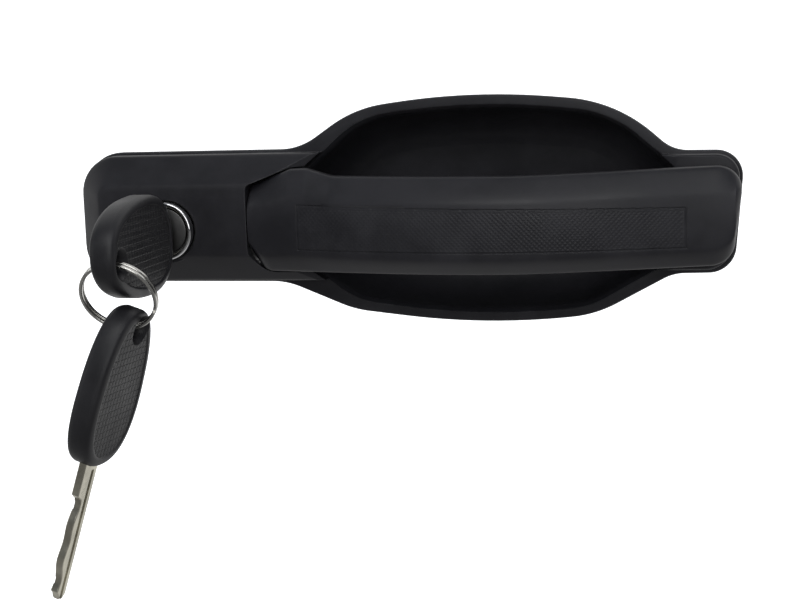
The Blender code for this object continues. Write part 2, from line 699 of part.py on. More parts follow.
def make_lock_cam():
    x, z = LOCK
    metal = steel()
    cam = rod("lock_cam", (x, CAM_Y, z), (x, CAM_Y + 2.4, z), 6.4, metal, 24, origin=(x, 0.0, z))
    tip_z = z - CAM_ARM
    add(cam,
        box("cam_arm", (x - 3.4, CAM_Y + 0.01, tip_z), (x + 3.4, CAM_Y + 2.39, z), metal),
        rod("cam_tip", (x, CAM_Y + 0.02, tip_z), (x, CAM_Y + 2.38, tip_z), 3.4, metal, 20))
    cut(cam,
        box("cam_square", (x - 3.15, 20.0, z - 3.15), (x + 3.15, 40.0, z + 3.15), None),
        rod("cam_eye", (x, 20.0, tip_z), (x, 40.0, tip_z), 1.9, None, 16))
    e_clip("lock_cam_clip", (x, 31.4, z), (0, 1, 0), 2.5, 4.6, 0.6, (0.0, 0.0, 1.0))
    clip_y = CAM_Y + 2.4 + GAP
    clip = box("lock_rod_clip", (x - 3.4, clip_y, tip_z - 4.5),
               (x + 3.4, clip_y + 5.0, tip_z + 4.0), clip_plastic(), (x, 0.0, tip_z))
    add(clip,
        rod("lock_clip_stub", (x, CAM_Y - 0.6, tip_z), (x, clip_y + 1.0, tip_z), 1.6,
            clip_plastic(), 16),
        rod("lock_clip_head", (x, CAM_Y - 1.2, tip_z), (x, CAM_Y - 0.3, tip_z), 2.2,
            clip_plastic(), 16))
    cut(clip,
        rod("lock_rod_hole", (x - 20.0, clip_y + 2.9, tip_z), (x + 20.0, clip_y + 2.9, tip_z),
            1.6, None, 16),
        box("lock_rod_mouth", (x - 20.0, clip_y + 2.9, tip_z - 1.2),
            (x + 20.0, clip_y + 9.0, tip_z + 1.2), None))


def make_lock_spring():
    """Torsion spring round the barrel whose legs hold the cam's arm in the middle."""
    x, z = LOCK
    radius = BARREL_R + 0.95
    spread = math.radians(26.0)
    start_angle = -math.pi / 2.0 - spread
    turns = 2.0 * math.pi * 2.0 + 2.0 * spread
    steps = 48
    path = [(x + radius * math.cos(start_angle), 30.4, z + radius * math.sin(start_angle))]
    for i in range(steps + 1):
        angle = start_angle + turns * i / steps
        path.append((x + radius * math.cos(angle), 14.4 + 2.6 * i / steps,
                     z + radius * math.sin(angle)))
    end_angle = start_angle + turns
    path.append((x + radius * math.cos(end_angle), 30.4, z + radius * math.sin(end_angle)))
    wire("lock_return_spring", path, 0.45, steel())


# ---------------------------------------------------------------- keys
def egg_point(angle, inset):
    """Outline of a key head: narrower at the ring end, wide near the blade."""
    half = HEAD_LENGTH / 2.0
    along = math.cos(angle)
    across = math.sin(angle)
    width = HEAD_HALF_WIDTH * (1.0 + 0.13 * along)
    square = (abs(along) ** 2.4 + abs(across) ** 2.4) ** (-1.0 / 2.4)
    y = (half - inset) * along * square - half
    return y, (width - inset) * across * square - HEAD_DROP


def make_key(prefix, head_name, blade_name, frame):
    """A key in its own frame: origin at the shoulder, blade along +Y, flats facing X."""
    half = HEAD_THICK / 2.0
    rings = []
    levels = [(2.0, -half), (0.7, 0.6 - half), (0.0, 2.0 - half)]
    levels += [(inset, -x) for inset, x in reversed(levels)]
    for inset, x in levels:
        ring = []
        for i in range(36):
            y, z = egg_point(2.0 * math.pi * i / 36, inset)
            ring.append((x, y, z))
        rings.append(ring)
    head = loft(head_name, rings, key_plastic())
    hole_y, hole_z = KEY_HOLE
    waist = [(5.0, -half - 0.3), (3.3, -1.6), (3.3, 1.6), (5.0, half + 0.3)]
    head.parent = frame
    cut(head, turned(f"{prefix}_ring_hole", waist, (0.0, hole_y, hole_z), (1, 0, 0), None, 24),
        box(f"{prefix}_tang_pocket", (-1.55, -14.3, -3.3), (1.55, 3.0, 3.3), None),
        box(f"{prefix}_neck_pocket", (-1.55, -2.2, -4.6), (1.55, 3.0, 4.6), None))
    low = -BLADE_WIDTH / 2.0
    high = BLADE_WIDTH / 2.0
    outline = [(-14.0, -3.0), (-14.0, 3.0), (-1.8, 3.0), (-1.8, high), (9.6, high),
               (10.6, high - 1.3)]
    steps = 26
    for i in range(steps + 1):
        t = i / steps
        y = 11.4 + (BLADE_LENGTH - 15.0) * t
        depth = 2.0 + 1.1 * math.sin(11.5 * t + 0.6) * math.cos(4.0 * t)
        outline.append((y, high - depth))
    outline += [(BLADE_LENGTH, low + 3.0), (BLADE_LENGTH, low + 1.6), (BLADE_LENGTH - 1.6, low),
                (-1.8, low), (-1.8, -3.0)]
    rings = [[(x, y, z) for y, z in outline] for x in (-BLADE_THICK / 2.0, BLADE_THICK / 2.0)]
    blade = loft(blade_name, rings, nickel_silver())
    blade.parent = frame


def empty(name, matrix):
    frame = bpy.data.objects.new(name, None)
    bpy.context.collection.objects.link(frame)
    frame.matrix_world = matrix
    return frame


def key_ring_frame():
    """Centre of the ring and its in-plane directions (down, across)."""
    hole = Vector((LOCK[0], KEY_SHOULDER_Y + KEY_HOLE[0], LOCK[1] + KEY_HOLE[1]))
    centre = hole + RING_HANG * RING_R
    across = Vector((1.0, 0.0, 0.0))
    across = (across - RING_HANG * across.dot(RING_HANG)).normalized()
    return centre, RING_HANG, across


def make_key_ring():
    """Split ring: two turns of flat wire with a step from one to the other."""
    centre, down, across = key_ring_frame()
    normal = down.cross(across)
    hole = centre - down * RING_R
    half = RING_WIRE / 2.0
    steps = 96
    rings = []
    for i in range(steps + 1):
        turn = 4.0 * math.pi * i / steps
        ramp = min(1.0, max(0.0, (i / steps - 0.44) / 0.12))
        ramp = ramp * ramp * (3.0 - 2.0 * ramp)
        lift = RING_PITCH * (ramp - 0.5)
        angle = turn + math.radians(62.0)
        out = down * math.cos(angle) + across * math.sin(angle)
        ring = []
        for r, a in ((-1, -1), (1, -1), (1, 1), (-1, 1)):
            ring.append(centre + out * (RING_R + r * half) + normal * (lift + a * half))
        rings.append(ring)
    return loft("key_ring", rings, steel(), hole)


def spare_key_pivot():
    """Placement of the spare key's ring hole on the ring, with the key's own directions."""
    centre, down, across = key_ring_frame()
    angle = math.radians(SPARE_RING_DEG)
    hole = centre + (down * math.cos(angle) + across * math.sin(angle)) * RING_R
    axis = SPARE_AXIS
    flat = Vector((-axis.z, 0.0, axis.x))
    flat.rotate(Matrix.Rotation(math.radians(-SPARE_TURN_DEG), 3, -axis))
    if flat.x < 0.0:
        flat.negate()
    x_axis = -flat
    z_axis = x_axis.cross(axis)
    turn = Matrix((x_axis, axis, z_axis)).transposed()
    return Matrix.LocRotScale(hole * MM, turn, None)


def make_keys():
    shoulder = Vector((LOCK[0], KEY_SHOULDER_Y, LOCK[1]))
    frame = empty("key_frame", Matrix.Translation(shoulder * MM))
    make_key("key", "key_head", "key_blade", frame)
    make_key_ring()
    pivot = empty("spare_key_pivot", spare_key_pivot())
    spare = empty("spare_key_frame", Matrix.Translation(-Vector((0.0, *KEY_HOLE)) * MM))
    spare.parent = pivot
    make_key("spare_key", "spare_key_head", "spare_key_blade", spare)


def main():
    for obj in list(bpy.data.objects):
        bpy.data.objects.remove(obj)
    make_housing()
    make_gasket()
    make_studs()
    make_grip_cover()
    make_grip_back()
    make_grip_screws()
    make_grip_hinge()
    make_bumpers()
    make_bellcrank()
    make_bellcrank_spring()
    make_lock_barrel()
    make_lock_trim()
    make_lock_plug()
    make_lock_cam()
    make_lock_spring()
    make_keys()
    unplaced = [obj for obj in bpy.data.objects if obj.parent is None]
    handle = empty("handle_frame", Matrix.Translation(-ORIGIN * MM))
    for obj in unplaced:
        obj.parent = handle
    bpy.context.view_layer.update()


main()
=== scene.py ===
import json
import math

import bmesh
import bpy
from mathutils import Matrix, Vector


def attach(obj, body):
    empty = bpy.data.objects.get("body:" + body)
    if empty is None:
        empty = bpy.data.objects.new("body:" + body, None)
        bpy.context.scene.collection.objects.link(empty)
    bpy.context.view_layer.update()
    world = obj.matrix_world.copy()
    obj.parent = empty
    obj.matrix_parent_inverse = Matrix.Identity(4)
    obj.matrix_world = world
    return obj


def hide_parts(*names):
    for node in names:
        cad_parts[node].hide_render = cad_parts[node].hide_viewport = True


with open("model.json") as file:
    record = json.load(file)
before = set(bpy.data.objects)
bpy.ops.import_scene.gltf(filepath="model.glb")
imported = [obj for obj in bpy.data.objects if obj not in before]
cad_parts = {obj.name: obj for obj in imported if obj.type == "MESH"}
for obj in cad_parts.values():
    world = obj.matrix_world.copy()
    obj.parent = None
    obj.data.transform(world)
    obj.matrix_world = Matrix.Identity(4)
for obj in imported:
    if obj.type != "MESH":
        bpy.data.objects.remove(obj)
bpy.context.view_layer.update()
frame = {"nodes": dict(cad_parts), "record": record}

MM = 0.001
ORIGIN = Vector((-105.75, 1.7, 0.0))     # the world's origin in the drawing's millimetres
GAP = 0.3

# Outlines seen from outside, clockwise: (x, z, corner radius)
FLANGE_CORNERS = [
    (-107.0, 21.4, 13.0), (-33.2, 21.4, 22.0), (-14.5, 33.9, 40.0), (23.0, 38.7, 220.0),
    (68.0, 34.1, 46.0), (85.3, 18.8, 12.0), (107.0, 18.6, 8.0), (103.7, -18.9, 8.5),
    (85.3, -19.2, 14.0), (61.2, -32.2, 38.0), (26.6, -35.8, 240.0), (-16.5, -30.7, 36.0),
    (-39.0, -21.5, 25.0), (-107.0, -21.4, 13.0),
]
BOWL_CORNERS = [
    (-33.0, 13.5, 3.0), (-13.4, 31.0, 30.0), (23.0, 35.8, 215.0), (66.6, 31.0, 36.0),
    (86.0, 14.1, 2.5), (86.0, -14.4, 3.0), (59.8, -29.4, 25.0), (26.6, -32.8, 225.0),
    (-15.6, -27.6, 25.0), (-33.0, -14.0, 3.0),
]
BOSS_CORNERS = [
    (-106.1, 20.5, 12.1), (-8.0, 20.5, 3.0), (-8.0, -20.5, 3.0), (-106.1, -20.5, 12.1),
]
PEDESTAL_CORNERS = [
    (76.0, 17.7, 3.0), (106.1, 17.7, 7.1), (102.3, -17.7, 8.1), (76.0, -17.7, 3.0),
]
GRIP_CORNERS = [
    (-47.0, 10.6, 1.5), (-33.5, 15.8, 2.0), (-28.0, 16.0, 5.0), (-19.0, 13.6, 9.0),
    (40.0, 13.2, 300.0), (107.0, 14.8, 7.5), (103.2, -15.4, 7.5), (40.0, -16.6, 300.0),
    (-42.6, -16.8, 5.0), (-47.0, -11.0, 3.0),
]
WALL = 2.0
FLANGE_THICK = 3.1
FACE_Y = -17.0
POCKET_FLOOR_Y = -7.0
PEDESTAL_Y = -7.0
BOWL_DEPTH = 19.0

GRIP_REAR_Y = -8.7
GRIP_SIDE_Y = -11.4
GRIP_BOW = 12.6
GRIP_MID_X = 30.0
GRIP_HALF = 77.0
GRIP_SCREWS = {"rear": -24.0, "front": 84.0}
GRIP_SCREW_Z = -1.5
PANEL_X = (-30.0, 90.0)
PANEL_TOP = (5.0, 3.0)                   # at the panel's two ends
PANEL_BASE = -9.4
KNURL_PITCH = 1.5
KNURL_DEPTH = 0.15
TONGUE_X = (-45.0, -42.0)
BUMPER_X = -37.5
BUMPERS_Z = {"upper": 8.0, "lower": -10.5}
HINGE = (98.5, -3.0)
KNUCKLE_HALF = 4.7

CRANK = (13.0, 13.5)
CRANK_HUB_X = (-61.6, -51.4)
CHEEKS_X = {"outer": -64.8, "inner": -51.0}
CRANK_ARM = 22.0
CRANK_SWING_DEG = 62.1
ROD_ARM = 16.0
ROD_ARM_DEG = 95.0
CRANK_PIN_R = 1.7

LOCK = (-74.0, -3.0)
BARREL_R = 8.25
PLUG_R = 6.5
CAM_Y = 28.2
CAM_ARM = 18.0
STUDS = {"rear": (-97.0, -1.0), "front": (92.0, 11.0)}
STUD_R = 2.5
THREAD_PITCH = 0.8

KEY_SHOULDER_Y = -21.0
HEAD_LENGTH = 50.0
HEAD_HALF_WIDTH = 15.2
HEAD_THICK = 8.2
HEAD_DROP = 2.0                # the head's middle below the blade's
KEY_HOLE = (-43.5, -4.5)
BLADE_LENGTH = 46.0
BLADE_WIDTH = 8.4
BLADE_THICK = 2.5
RING_R = 11.4
RING_WIRE = 1.1
RING_PITCH = 1.4
RING_HANG = Vector((0.0, 0.45, -0.88)).normalized()
SPARE_RING_DEG = 4.0
SPARE_AXIS = Vector((-0.31, 0.0, -0.95)).normalized()
SPARE_TURN_DEG = 5.0


# ---------------------------------------------------------------- finishes
def finish(name, color, roughness, metallic=0.0, grain_mm=0.45, grain_height=0.02, mottle=0.15,
           edge_mm=0.35, edge_wear_highlight_tone=None, edge_shine=0.0, streaks=(1.0, 1.0, 1.0),
           dust=0.0, grid_mm=0.0, gloss=0.5):
    """A finish with fine grain, uneven gloss, edges lightened partly by wear and partly as a
    painted highlight, and rounded-edge highlights.
    """
    mat = bpy.data.materials.new(name)
    mat.use_nodes = True
    tree = mat.node_tree
    link = tree.links.new
    shader = tree.nodes["Principled BSDF"]
    shader.inputs["Metallic"].default_value = metallic
    shader.inputs["Specular IOR Level"].default_value = gloss

    def node(kind, inputs=(), **settings):
        made = tree.nodes.new(kind)
        for key, value in settings.items():
            setattr(made, key, value)
        for key, value in inputs:
            made.inputs[key].default_value = value
        return made

    def span_map(source, low, high, to_low, to_high):
        made = node("ShaderNodeMapRange", [("From Min", low), ("From Max", high),
                                           ("To Min", to_low), ("To Max", to_high)])
        link(source, made.inputs["Value"])
        return made.outputs["Result"]

    def mixed(amount, first, second):
        made = node("ShaderNodeMix", data_type="RGBA")
        link(amount, made.inputs["Factor"])
        for value, socket in ((first, made.inputs["A"]), (second, made.inputs["B"])):
            if isinstance(value, tuple):
                socket.default_value = (*value, 1.0)
            else:
                link(value, socket)
        return made.outputs["Result"]

    where = node("ShaderNodeTexCoord").outputs["Object"]
    in_mm = node("ShaderNodeMapping", [("Scale", (1000.0, 1000.0, 1000.0))])
    link(where, in_mm.inputs["Vector"])
    drawn = node("ShaderNodeMapping", [("Scale", [1000.0 * s for s in streaks])])
    link(where, drawn.inputs["Vector"])
    grain = node("ShaderNodeTexNoise", [("Scale", 1.0 / grain_mm), ("Detail", 4.0),
                                        ("Roughness", 0.62)])
    link(drawn.outputs["Vector"], grain.inputs["Vector"])
    broad = node("ShaderNodeTexNoise", [("Scale", 0.045), ("Detail", 6.0), ("Roughness", 0.65)])
    link(in_mm.outputs["Vector"], broad.inputs["Vector"])

    soft = node("ShaderNodeBevel", [("Radius", edge_mm * MM)], samples=6)
    facing = node("ShaderNodeNewGeometry")
    match = node("ShaderNodeVectorMath", operation="DOT_PRODUCT")
    link(soft.outputs["Normal"], match.inputs[0])
    link(facing.outputs["True Normal"], match.inputs[1])
    edge = span_map(match.outputs["Value"], 0.995, 0.9, 0.0, 1.0)
    patchy = span_map(broad.outputs["Fac"], 0.4, 0.62, 0.0, 1.0)
    # Mask of the edges to lighten: partly wear, partly a painted highlight along edges such as the
    # bowl's lip.
    wear_and_highlight_mask = node("ShaderNodeMath", operation="MULTIPLY")
    link(edge, wear_and_highlight_mask.inputs[0])
    link(patchy, wear_and_highlight_mask.inputs[1])

    dark = tuple(c * (1.0 - mottle) for c in color)
    light = tuple(min(1.0, c * (1.0 + mottle)) for c in color)
    tint = mixed(patchy, dark, light)
    if dust:
        specks = node("ShaderNodeTexNoise", [("Scale", 0.7), ("Detail", 8.0),
                                             ("Roughness", 0.8)])
        link(in_mm.outputs["Vector"], specks.inputs["Vector"])
        amount = span_map(specks.outputs["Fac"], 0.64, 0.76, 0.0, dust)
        tint = mixed(amount, tint, (0.16, 0.155, 0.145))
    # Edges are lightened towards their edge colour, partly as wear and partly as a painted
    # highlight.
    tint = mixed(wear_and_highlight_mask.outputs["Value"], tint, edge_wear_highlight_tone or light)
    link(tint, shader.inputs["Base Color"])

    shine = span_map(broad.outputs["Fac"], 0.35, 0.65, roughness * (1.0 - mottle),
                     roughness * (1.0 + mottle))
    polished = node("ShaderNodeMath", [(1, -edge_shine)], operation="MULTIPLY")
    link(wear_and_highlight_mask.outputs["Value"], polished.inputs[0])
    total = node("ShaderNodeMath", operation="ADD", use_clamp=True)
    link(shine, total.inputs[0])
    link(polished.outputs["Value"], total.inputs[1])
    link(total.outputs["Value"], shader.inputs["Roughness"])

    bump = node("ShaderNodeBump", [("Strength", 1.0), ("Distance", grain_height * MM)])
    link(grain.outputs["Fac"], bump.inputs["Height"])
    link(soft.outputs["Normal"], bump.inputs["Normal"])
    normal = bump.outputs["Normal"]
    if grid_mm:
        parts = node("ShaderNodeSeparateXYZ")
        link(in_mm.outputs["Vector"], parts.inputs["Vector"])
        ribs = []
        for axis in ("Y", "Z"):
            wave = node("ShaderNodeMath", [(1, grid_mm / 2.0)], operation="PINGPONG")
            link(parts.outputs[axis], wave.inputs[0])
            ribs.append(span_map(wave.outputs["Value"], 0.08 * grid_mm, 0.2 * grid_mm, 0.0, 1.0))
        pads = node("ShaderNodeMath", operation="MULTIPLY")
        link(ribs[0], pads.inputs[0])
        link(ribs[1], pads.inputs[1])
        relief = node("ShaderNodeBump", [("Strength", 1.0), ("Distance", 0.45 * MM)])
        link(pads.outputs["Value"], relief.inputs["Height"])
        link(normal, relief.inputs["Normal"])
        normal = relief.outputs["Normal"]
    link(normal, shader.inputs["Normal"])
    return mat


def make_finishes():
    return {
        # The housing's lighter edge colour is partly wear and partly a painted highlight along the
        # bowl's lip.
        "housing_plastic": finish("satin_black_housing", (0.0150, 0.0146, 0.0172), 0.45,
                                  gloss=0.22, dust=0.22, edge_mm=0.45,
                                  edge_wear_highlight_tone=(0.055, 0.055, 0.058)),
        "grip_plastic": finish("satin_black_grip", (0.0150, 0.0146, 0.0175), 0.45,
                               gloss=0.28, dust=0.12, edge_mm=0.2,
                               edge_wear_highlight_tone=(0.03, 0.03, 0.031)),
        "key_plastic": finish("moulded_black_key", (0.012, 0.0117, 0.0137), 0.46,
                              gloss=0.35, dust=0.2, grain_height=0.03,
                              edge_wear_highlight_tone=(0.035, 0.035, 0.036)),
        "key_flat": finish("gridded_black_key", (0.011, 0.0107, 0.0125), 0.5, gloss=0.35, dust=0.3,
                           grain_height=0.03, grid_mm=2.1),
        "clip_plastic": finish("natural_nylon", (0.55, 0.52, 0.43), 0.45, mottle=0.08,
                               edge_wear_highlight_tone=(0.66, 0.64, 0.56)),
        "rubber": finish("black_rubber", (0.016, 0.016, 0.016), 0.78, grain_height=0.03,
                         dust=0.35),
        "zinc": finish("die_cast_zinc", (0.42, 0.42, 0.41), 0.42, 1.0, grain_mm=0.8,
                       grain_height=0.03, edge_wear_highlight_tone=(0.6, 0.6, 0.58), edge_shine=0.15),
        "dark_zinc": finish("darkened_zinc", (0.10, 0.10, 0.10), 0.38, 1.0, grain_mm=0.8,
                            grain_height=0.03, edge_wear_highlight_tone=(0.45, 0.45, 0.43)),
        "steel": finish("plated_steel", (0.50, 0.49, 0.46), 0.30, 1.0, grain_mm=0.3,
                        grain_height=0.008, streaks=(1.0, 0.15, 1.0), mottle=0.25,
                        edge_wear_highlight_tone=(0.7, 0.69, 0.66), edge_shine=0.12),
        "ring_steel": finish("ring_steel", (0.62, 0.61, 0.58), 0.22, 1.0, grain_mm=0.3,
                             grain_height=0.005, mottle=0.2, edge_mm=0.15),
        "chrome": finish("bright_chrome", (0.78, 0.78, 0.79), 0.07, 1.0, grain_mm=2.0,
                         grain_height=0.003, mottle=0.1, edge_mm=0.15),
        "nickel_silver": finish("nickel_silver", (0.66, 0.63, 0.52), 0.3, 1.0, grain_mm=0.35,
                                grain_height=0.012, streaks=(1.0, 0.06, 1.0), mottle=0.25,
                                edge_mm=0.2, edge_wear_highlight_tone=(0.85, 0.82, 0.74), edge_shine=0.12),
    }


FINISH = make_finishes()
SLOTS = {row["node"]: row["material_slot"] for row in frame["record"]["subparts"]}
BODIES = {node: body for body, nodes in frame["record"]["behaviour"]["bodies"].items()
          for node in nodes}


# ---------------------------------------------------------------- tools
def mesh_object(name, points, faces, origin=(0.0, 0.0, 0.0)):
    """An object drawn in millimetres, with its origin at `origin`."""
    base = Vector(origin)
    mesh = bpy.data.meshes.new(name)
    mesh.from_pydata([(Vector(p) - base) * MM for p in points], [], faces)
    bm = bmesh.new()
    bm.from_mesh(mesh)
    bmesh.ops.recalc_face_normals(bm, faces=bm.faces)
    if bm.calc_volume(signed=True) < 0.0:
        bmesh.ops.reverse_faces(bm, faces=bm.faces)
    bm.to_mesh(mesh)
    bm.free()
    obj = bpy.data.objects.new(name, mesh)
    obj.location = (base - ORIGIN) * MM
    bpy.context.collection.objects.link(obj)
    return obj


def loft(name, rings, origin=(0.0, 0.0, 0.0)):
    """A closed body through rings of equal point counts, with flat ends."""
    count = len(rings[0])
    points = [p for ring in rings for p in ring]
    faces = [tuple(range(count)), tuple(range(len(points) - count, len(points)))]
    for level in range(len(rings) - 1):
        low = level * count
        high = low + count
        for i in range(count):
            j = (i + 1) % count
            faces.append((low + i, low + j, high + j, high + i))
    return mesh_object(name, points, faces, origin)


def turned(name, profile, start, axis, segments=64, ring=False, origin=(0.0, 0.0, 0.0)):
    """Turn (radius, height) points about an axis; `ring` closes the profile on itself."""
    axis = Vector(axis).normalized()
    side = axis.orthogonal().normalized()
    other = axis.cross(side)
    circles = []
    for radius, height in profile:
        circle = []
        for i in range(segments):
            angle = 2.0 * math.pi * i / segments
            out = side * math.cos(angle) + other * math.sin(angle)
            circle.append(Vector(start) + axis * height + out * radius)
        circles.append(circle)
    if not ring:
        return loft(name, circles, origin)
    points = [p for circle in circles for p in circle]
    faces = []
    for level in range(len(circles)):
        low = level * segments
        high = (level + 1) % len(circles) * segments
        for i in range(segments):
            j = (i + 1) % segments
            faces.append((low + i, low + j, high + j, high + i))
    return mesh_object(name, points, faces, origin)


def rod(name, start, end, radius, segments=48, origin=(0.0, 0.0, 0.0)):
    along = Vector(end) - Vector(start)
    return turned(name, [(radius, 0.0), (radius, along.length)], start, along, segments,
                  origin=origin)


def box(name, low, high, origin=(0.0, 0.0, 0.0)):
    rings = []
    for z in (low[2], high[2]):
        rings.append([(low[0], low[1], z), (high[0], low[1], z),
                      (high[0], high[1], z), (low[0], high[1], z)])
    return loft(name, rings, origin)


def combine(target, operation, others):
    """Apply one kind of Boolean with every other object, and drop those objects."""
    for other in others:
        step = target.modifiers.new(other.name, "BOOLEAN")
        step.operation = operation
        step.solver = "EXACT"
        step.object = other
    bpy.context.view_layer.update()
    graph = bpy.context.evaluated_depsgraph_get()
    mesh = bpy.data.meshes.new_from_object(target.evaluated_get(graph))
    target.modifiers.clear()
    target.data = mesh
    for other in others:
        bpy.data.objects.remove(other)
    return target


def cut(target, *others):
    return combine(target, "DIFFERENCE", others)


def add(target, *others):
    return combine(target, "UNION", others)


def show(obj, node, look=None, sharp_deg=32.0):
    """Give a fine surface its finish and let it stand for its CAD node."""
    mesh = obj.data
    if isinstance(look, list):
        chosen = [face.material_index for face in mesh.polygons]
    else:
        look = [look or SLOTS[node]]
        chosen = [0] * len(mesh.polygons)
    mesh.materials.clear()
    for name in look:
        mesh.materials.append(FINISH[name])
    mesh.polygons.foreach_set("material_index", chosen)
    mesh.shade_smooth()
    mesh.set_sharp_from_angle(angle=math.radians(sharp_deg))
    obj.name = f"{node}_surface"
    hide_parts(node)
    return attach(obj, BODIES[node])


def rounded_outline(corners, inset=0.0, steps=12):
    """Points of a clockwise outline moved inwards by `inset`, with its corners rounded."""
    count = len(corners)
    ways = []
    for i in range(count):
        a = Vector(corners[i][:2])
        b = Vector(corners[(i + 1) % count][:2])
        ways.append((b - a).normalized())
    outline = []
    for i in range(count):
        before = ways[i - 1]
        after = ways[i]
        turn = math.atan2(before.x * after.y - before.y * after.x, before.dot(after))
        normal = Vector((before.y, -before.x))
        corner = Vector(corners[i][:2]) + normal * inset
        corner += before * inset * math.tan(turn / 2.0)
        radius = corners[i][2] - inset if turn < 0.0 else corners[i][2] + inset
        radius = max(radius, 0.4)
        first = corner - before * radius * math.tan(abs(turn) / 2.0)
        inward = normal if turn < 0.0 else -normal
        centre = first + inward * radius
        for k in range(steps + 1):
            spoke = Vector(first - centre)
            spoke.rotate(Matrix.Rotation(turn * k / steps, 2))
            outline.append(centre + spoke)
    return outline


def outline_rings(corners, levels, steps=12, x_min=-1000.0, x_max=1000.0):
    """Rings of an outline at (inset, y) levels, flattened to stay between two x values."""
    rings = []
    for inset, y in levels:
        ring = []
        for point in rounded_outline(corners, inset, steps):
            ring.append((min(max(point.x, x_min), x_max), y, point.y))
        rings.append(ring)
    return rings


def rounded_path(points, rounds=2):
    """Cut the corners of an open path again and again, keeping its ends."""
    for _ in range(rounds):
        path = [points[0]]
        for a, b in zip(points, points[1:]):
            a = Vector(a)
            b = Vector(b)
            path += [a.lerp(b, 0.25), a.lerp(b, 0.75)]
        path.append(points[-1])
        points = path
    return [tuple(p) for p in points]


def evenly(points, count):
    """The same path as `count` points at equal distances."""
    points = [Vector(p) for p in points]
    lengths = [0.0]
    for a, b in zip(points, points[1:]):
        lengths.append(lengths[-1] + (b - a).length)
    path = []
    k = 0
    for i in range(count):
        goal = lengths[-1] * i / (count - 1)
        while k < len(points) - 2 and lengths[k + 1] < goal:
            k += 1
        share = (goal - lengths[k]) / max(lengths[k + 1] - lengths[k], 1e-9)
        path.append(points[k].lerp(points[k + 1], share))
    return path


# ---------------------------------------------------------------- housing
def bowl_levels(outside):
    inner = rounded_path([(1.3, 0.0), (2.4, 5.0), (4.0, 10.0), (6.4, 14.5), (9.2, 17.4),
                          (11.5, 18.6), (13.5, BOWL_DEPTH)], 2)
    if not outside:
        return [(0.0, -30.0), (0.0, -2.6), (0.35, -2.2), (1.0, -1.2)] + inner
    return [(-0.5, -1.5)] + [(inset - WALL * 0.9, y + 0.12 * y) for inset, y in inner]


def slope_cutter(name, start, end):
    (xa, ya), (xb, yb) = start, end
    rings = []
    for z in (-45.0, 45.0):
        rings.append([(xa, ya, z), (xb, yb, z), (xb, -60.0, z), (xa, -60.0, z)])
    return loft(name, rings)


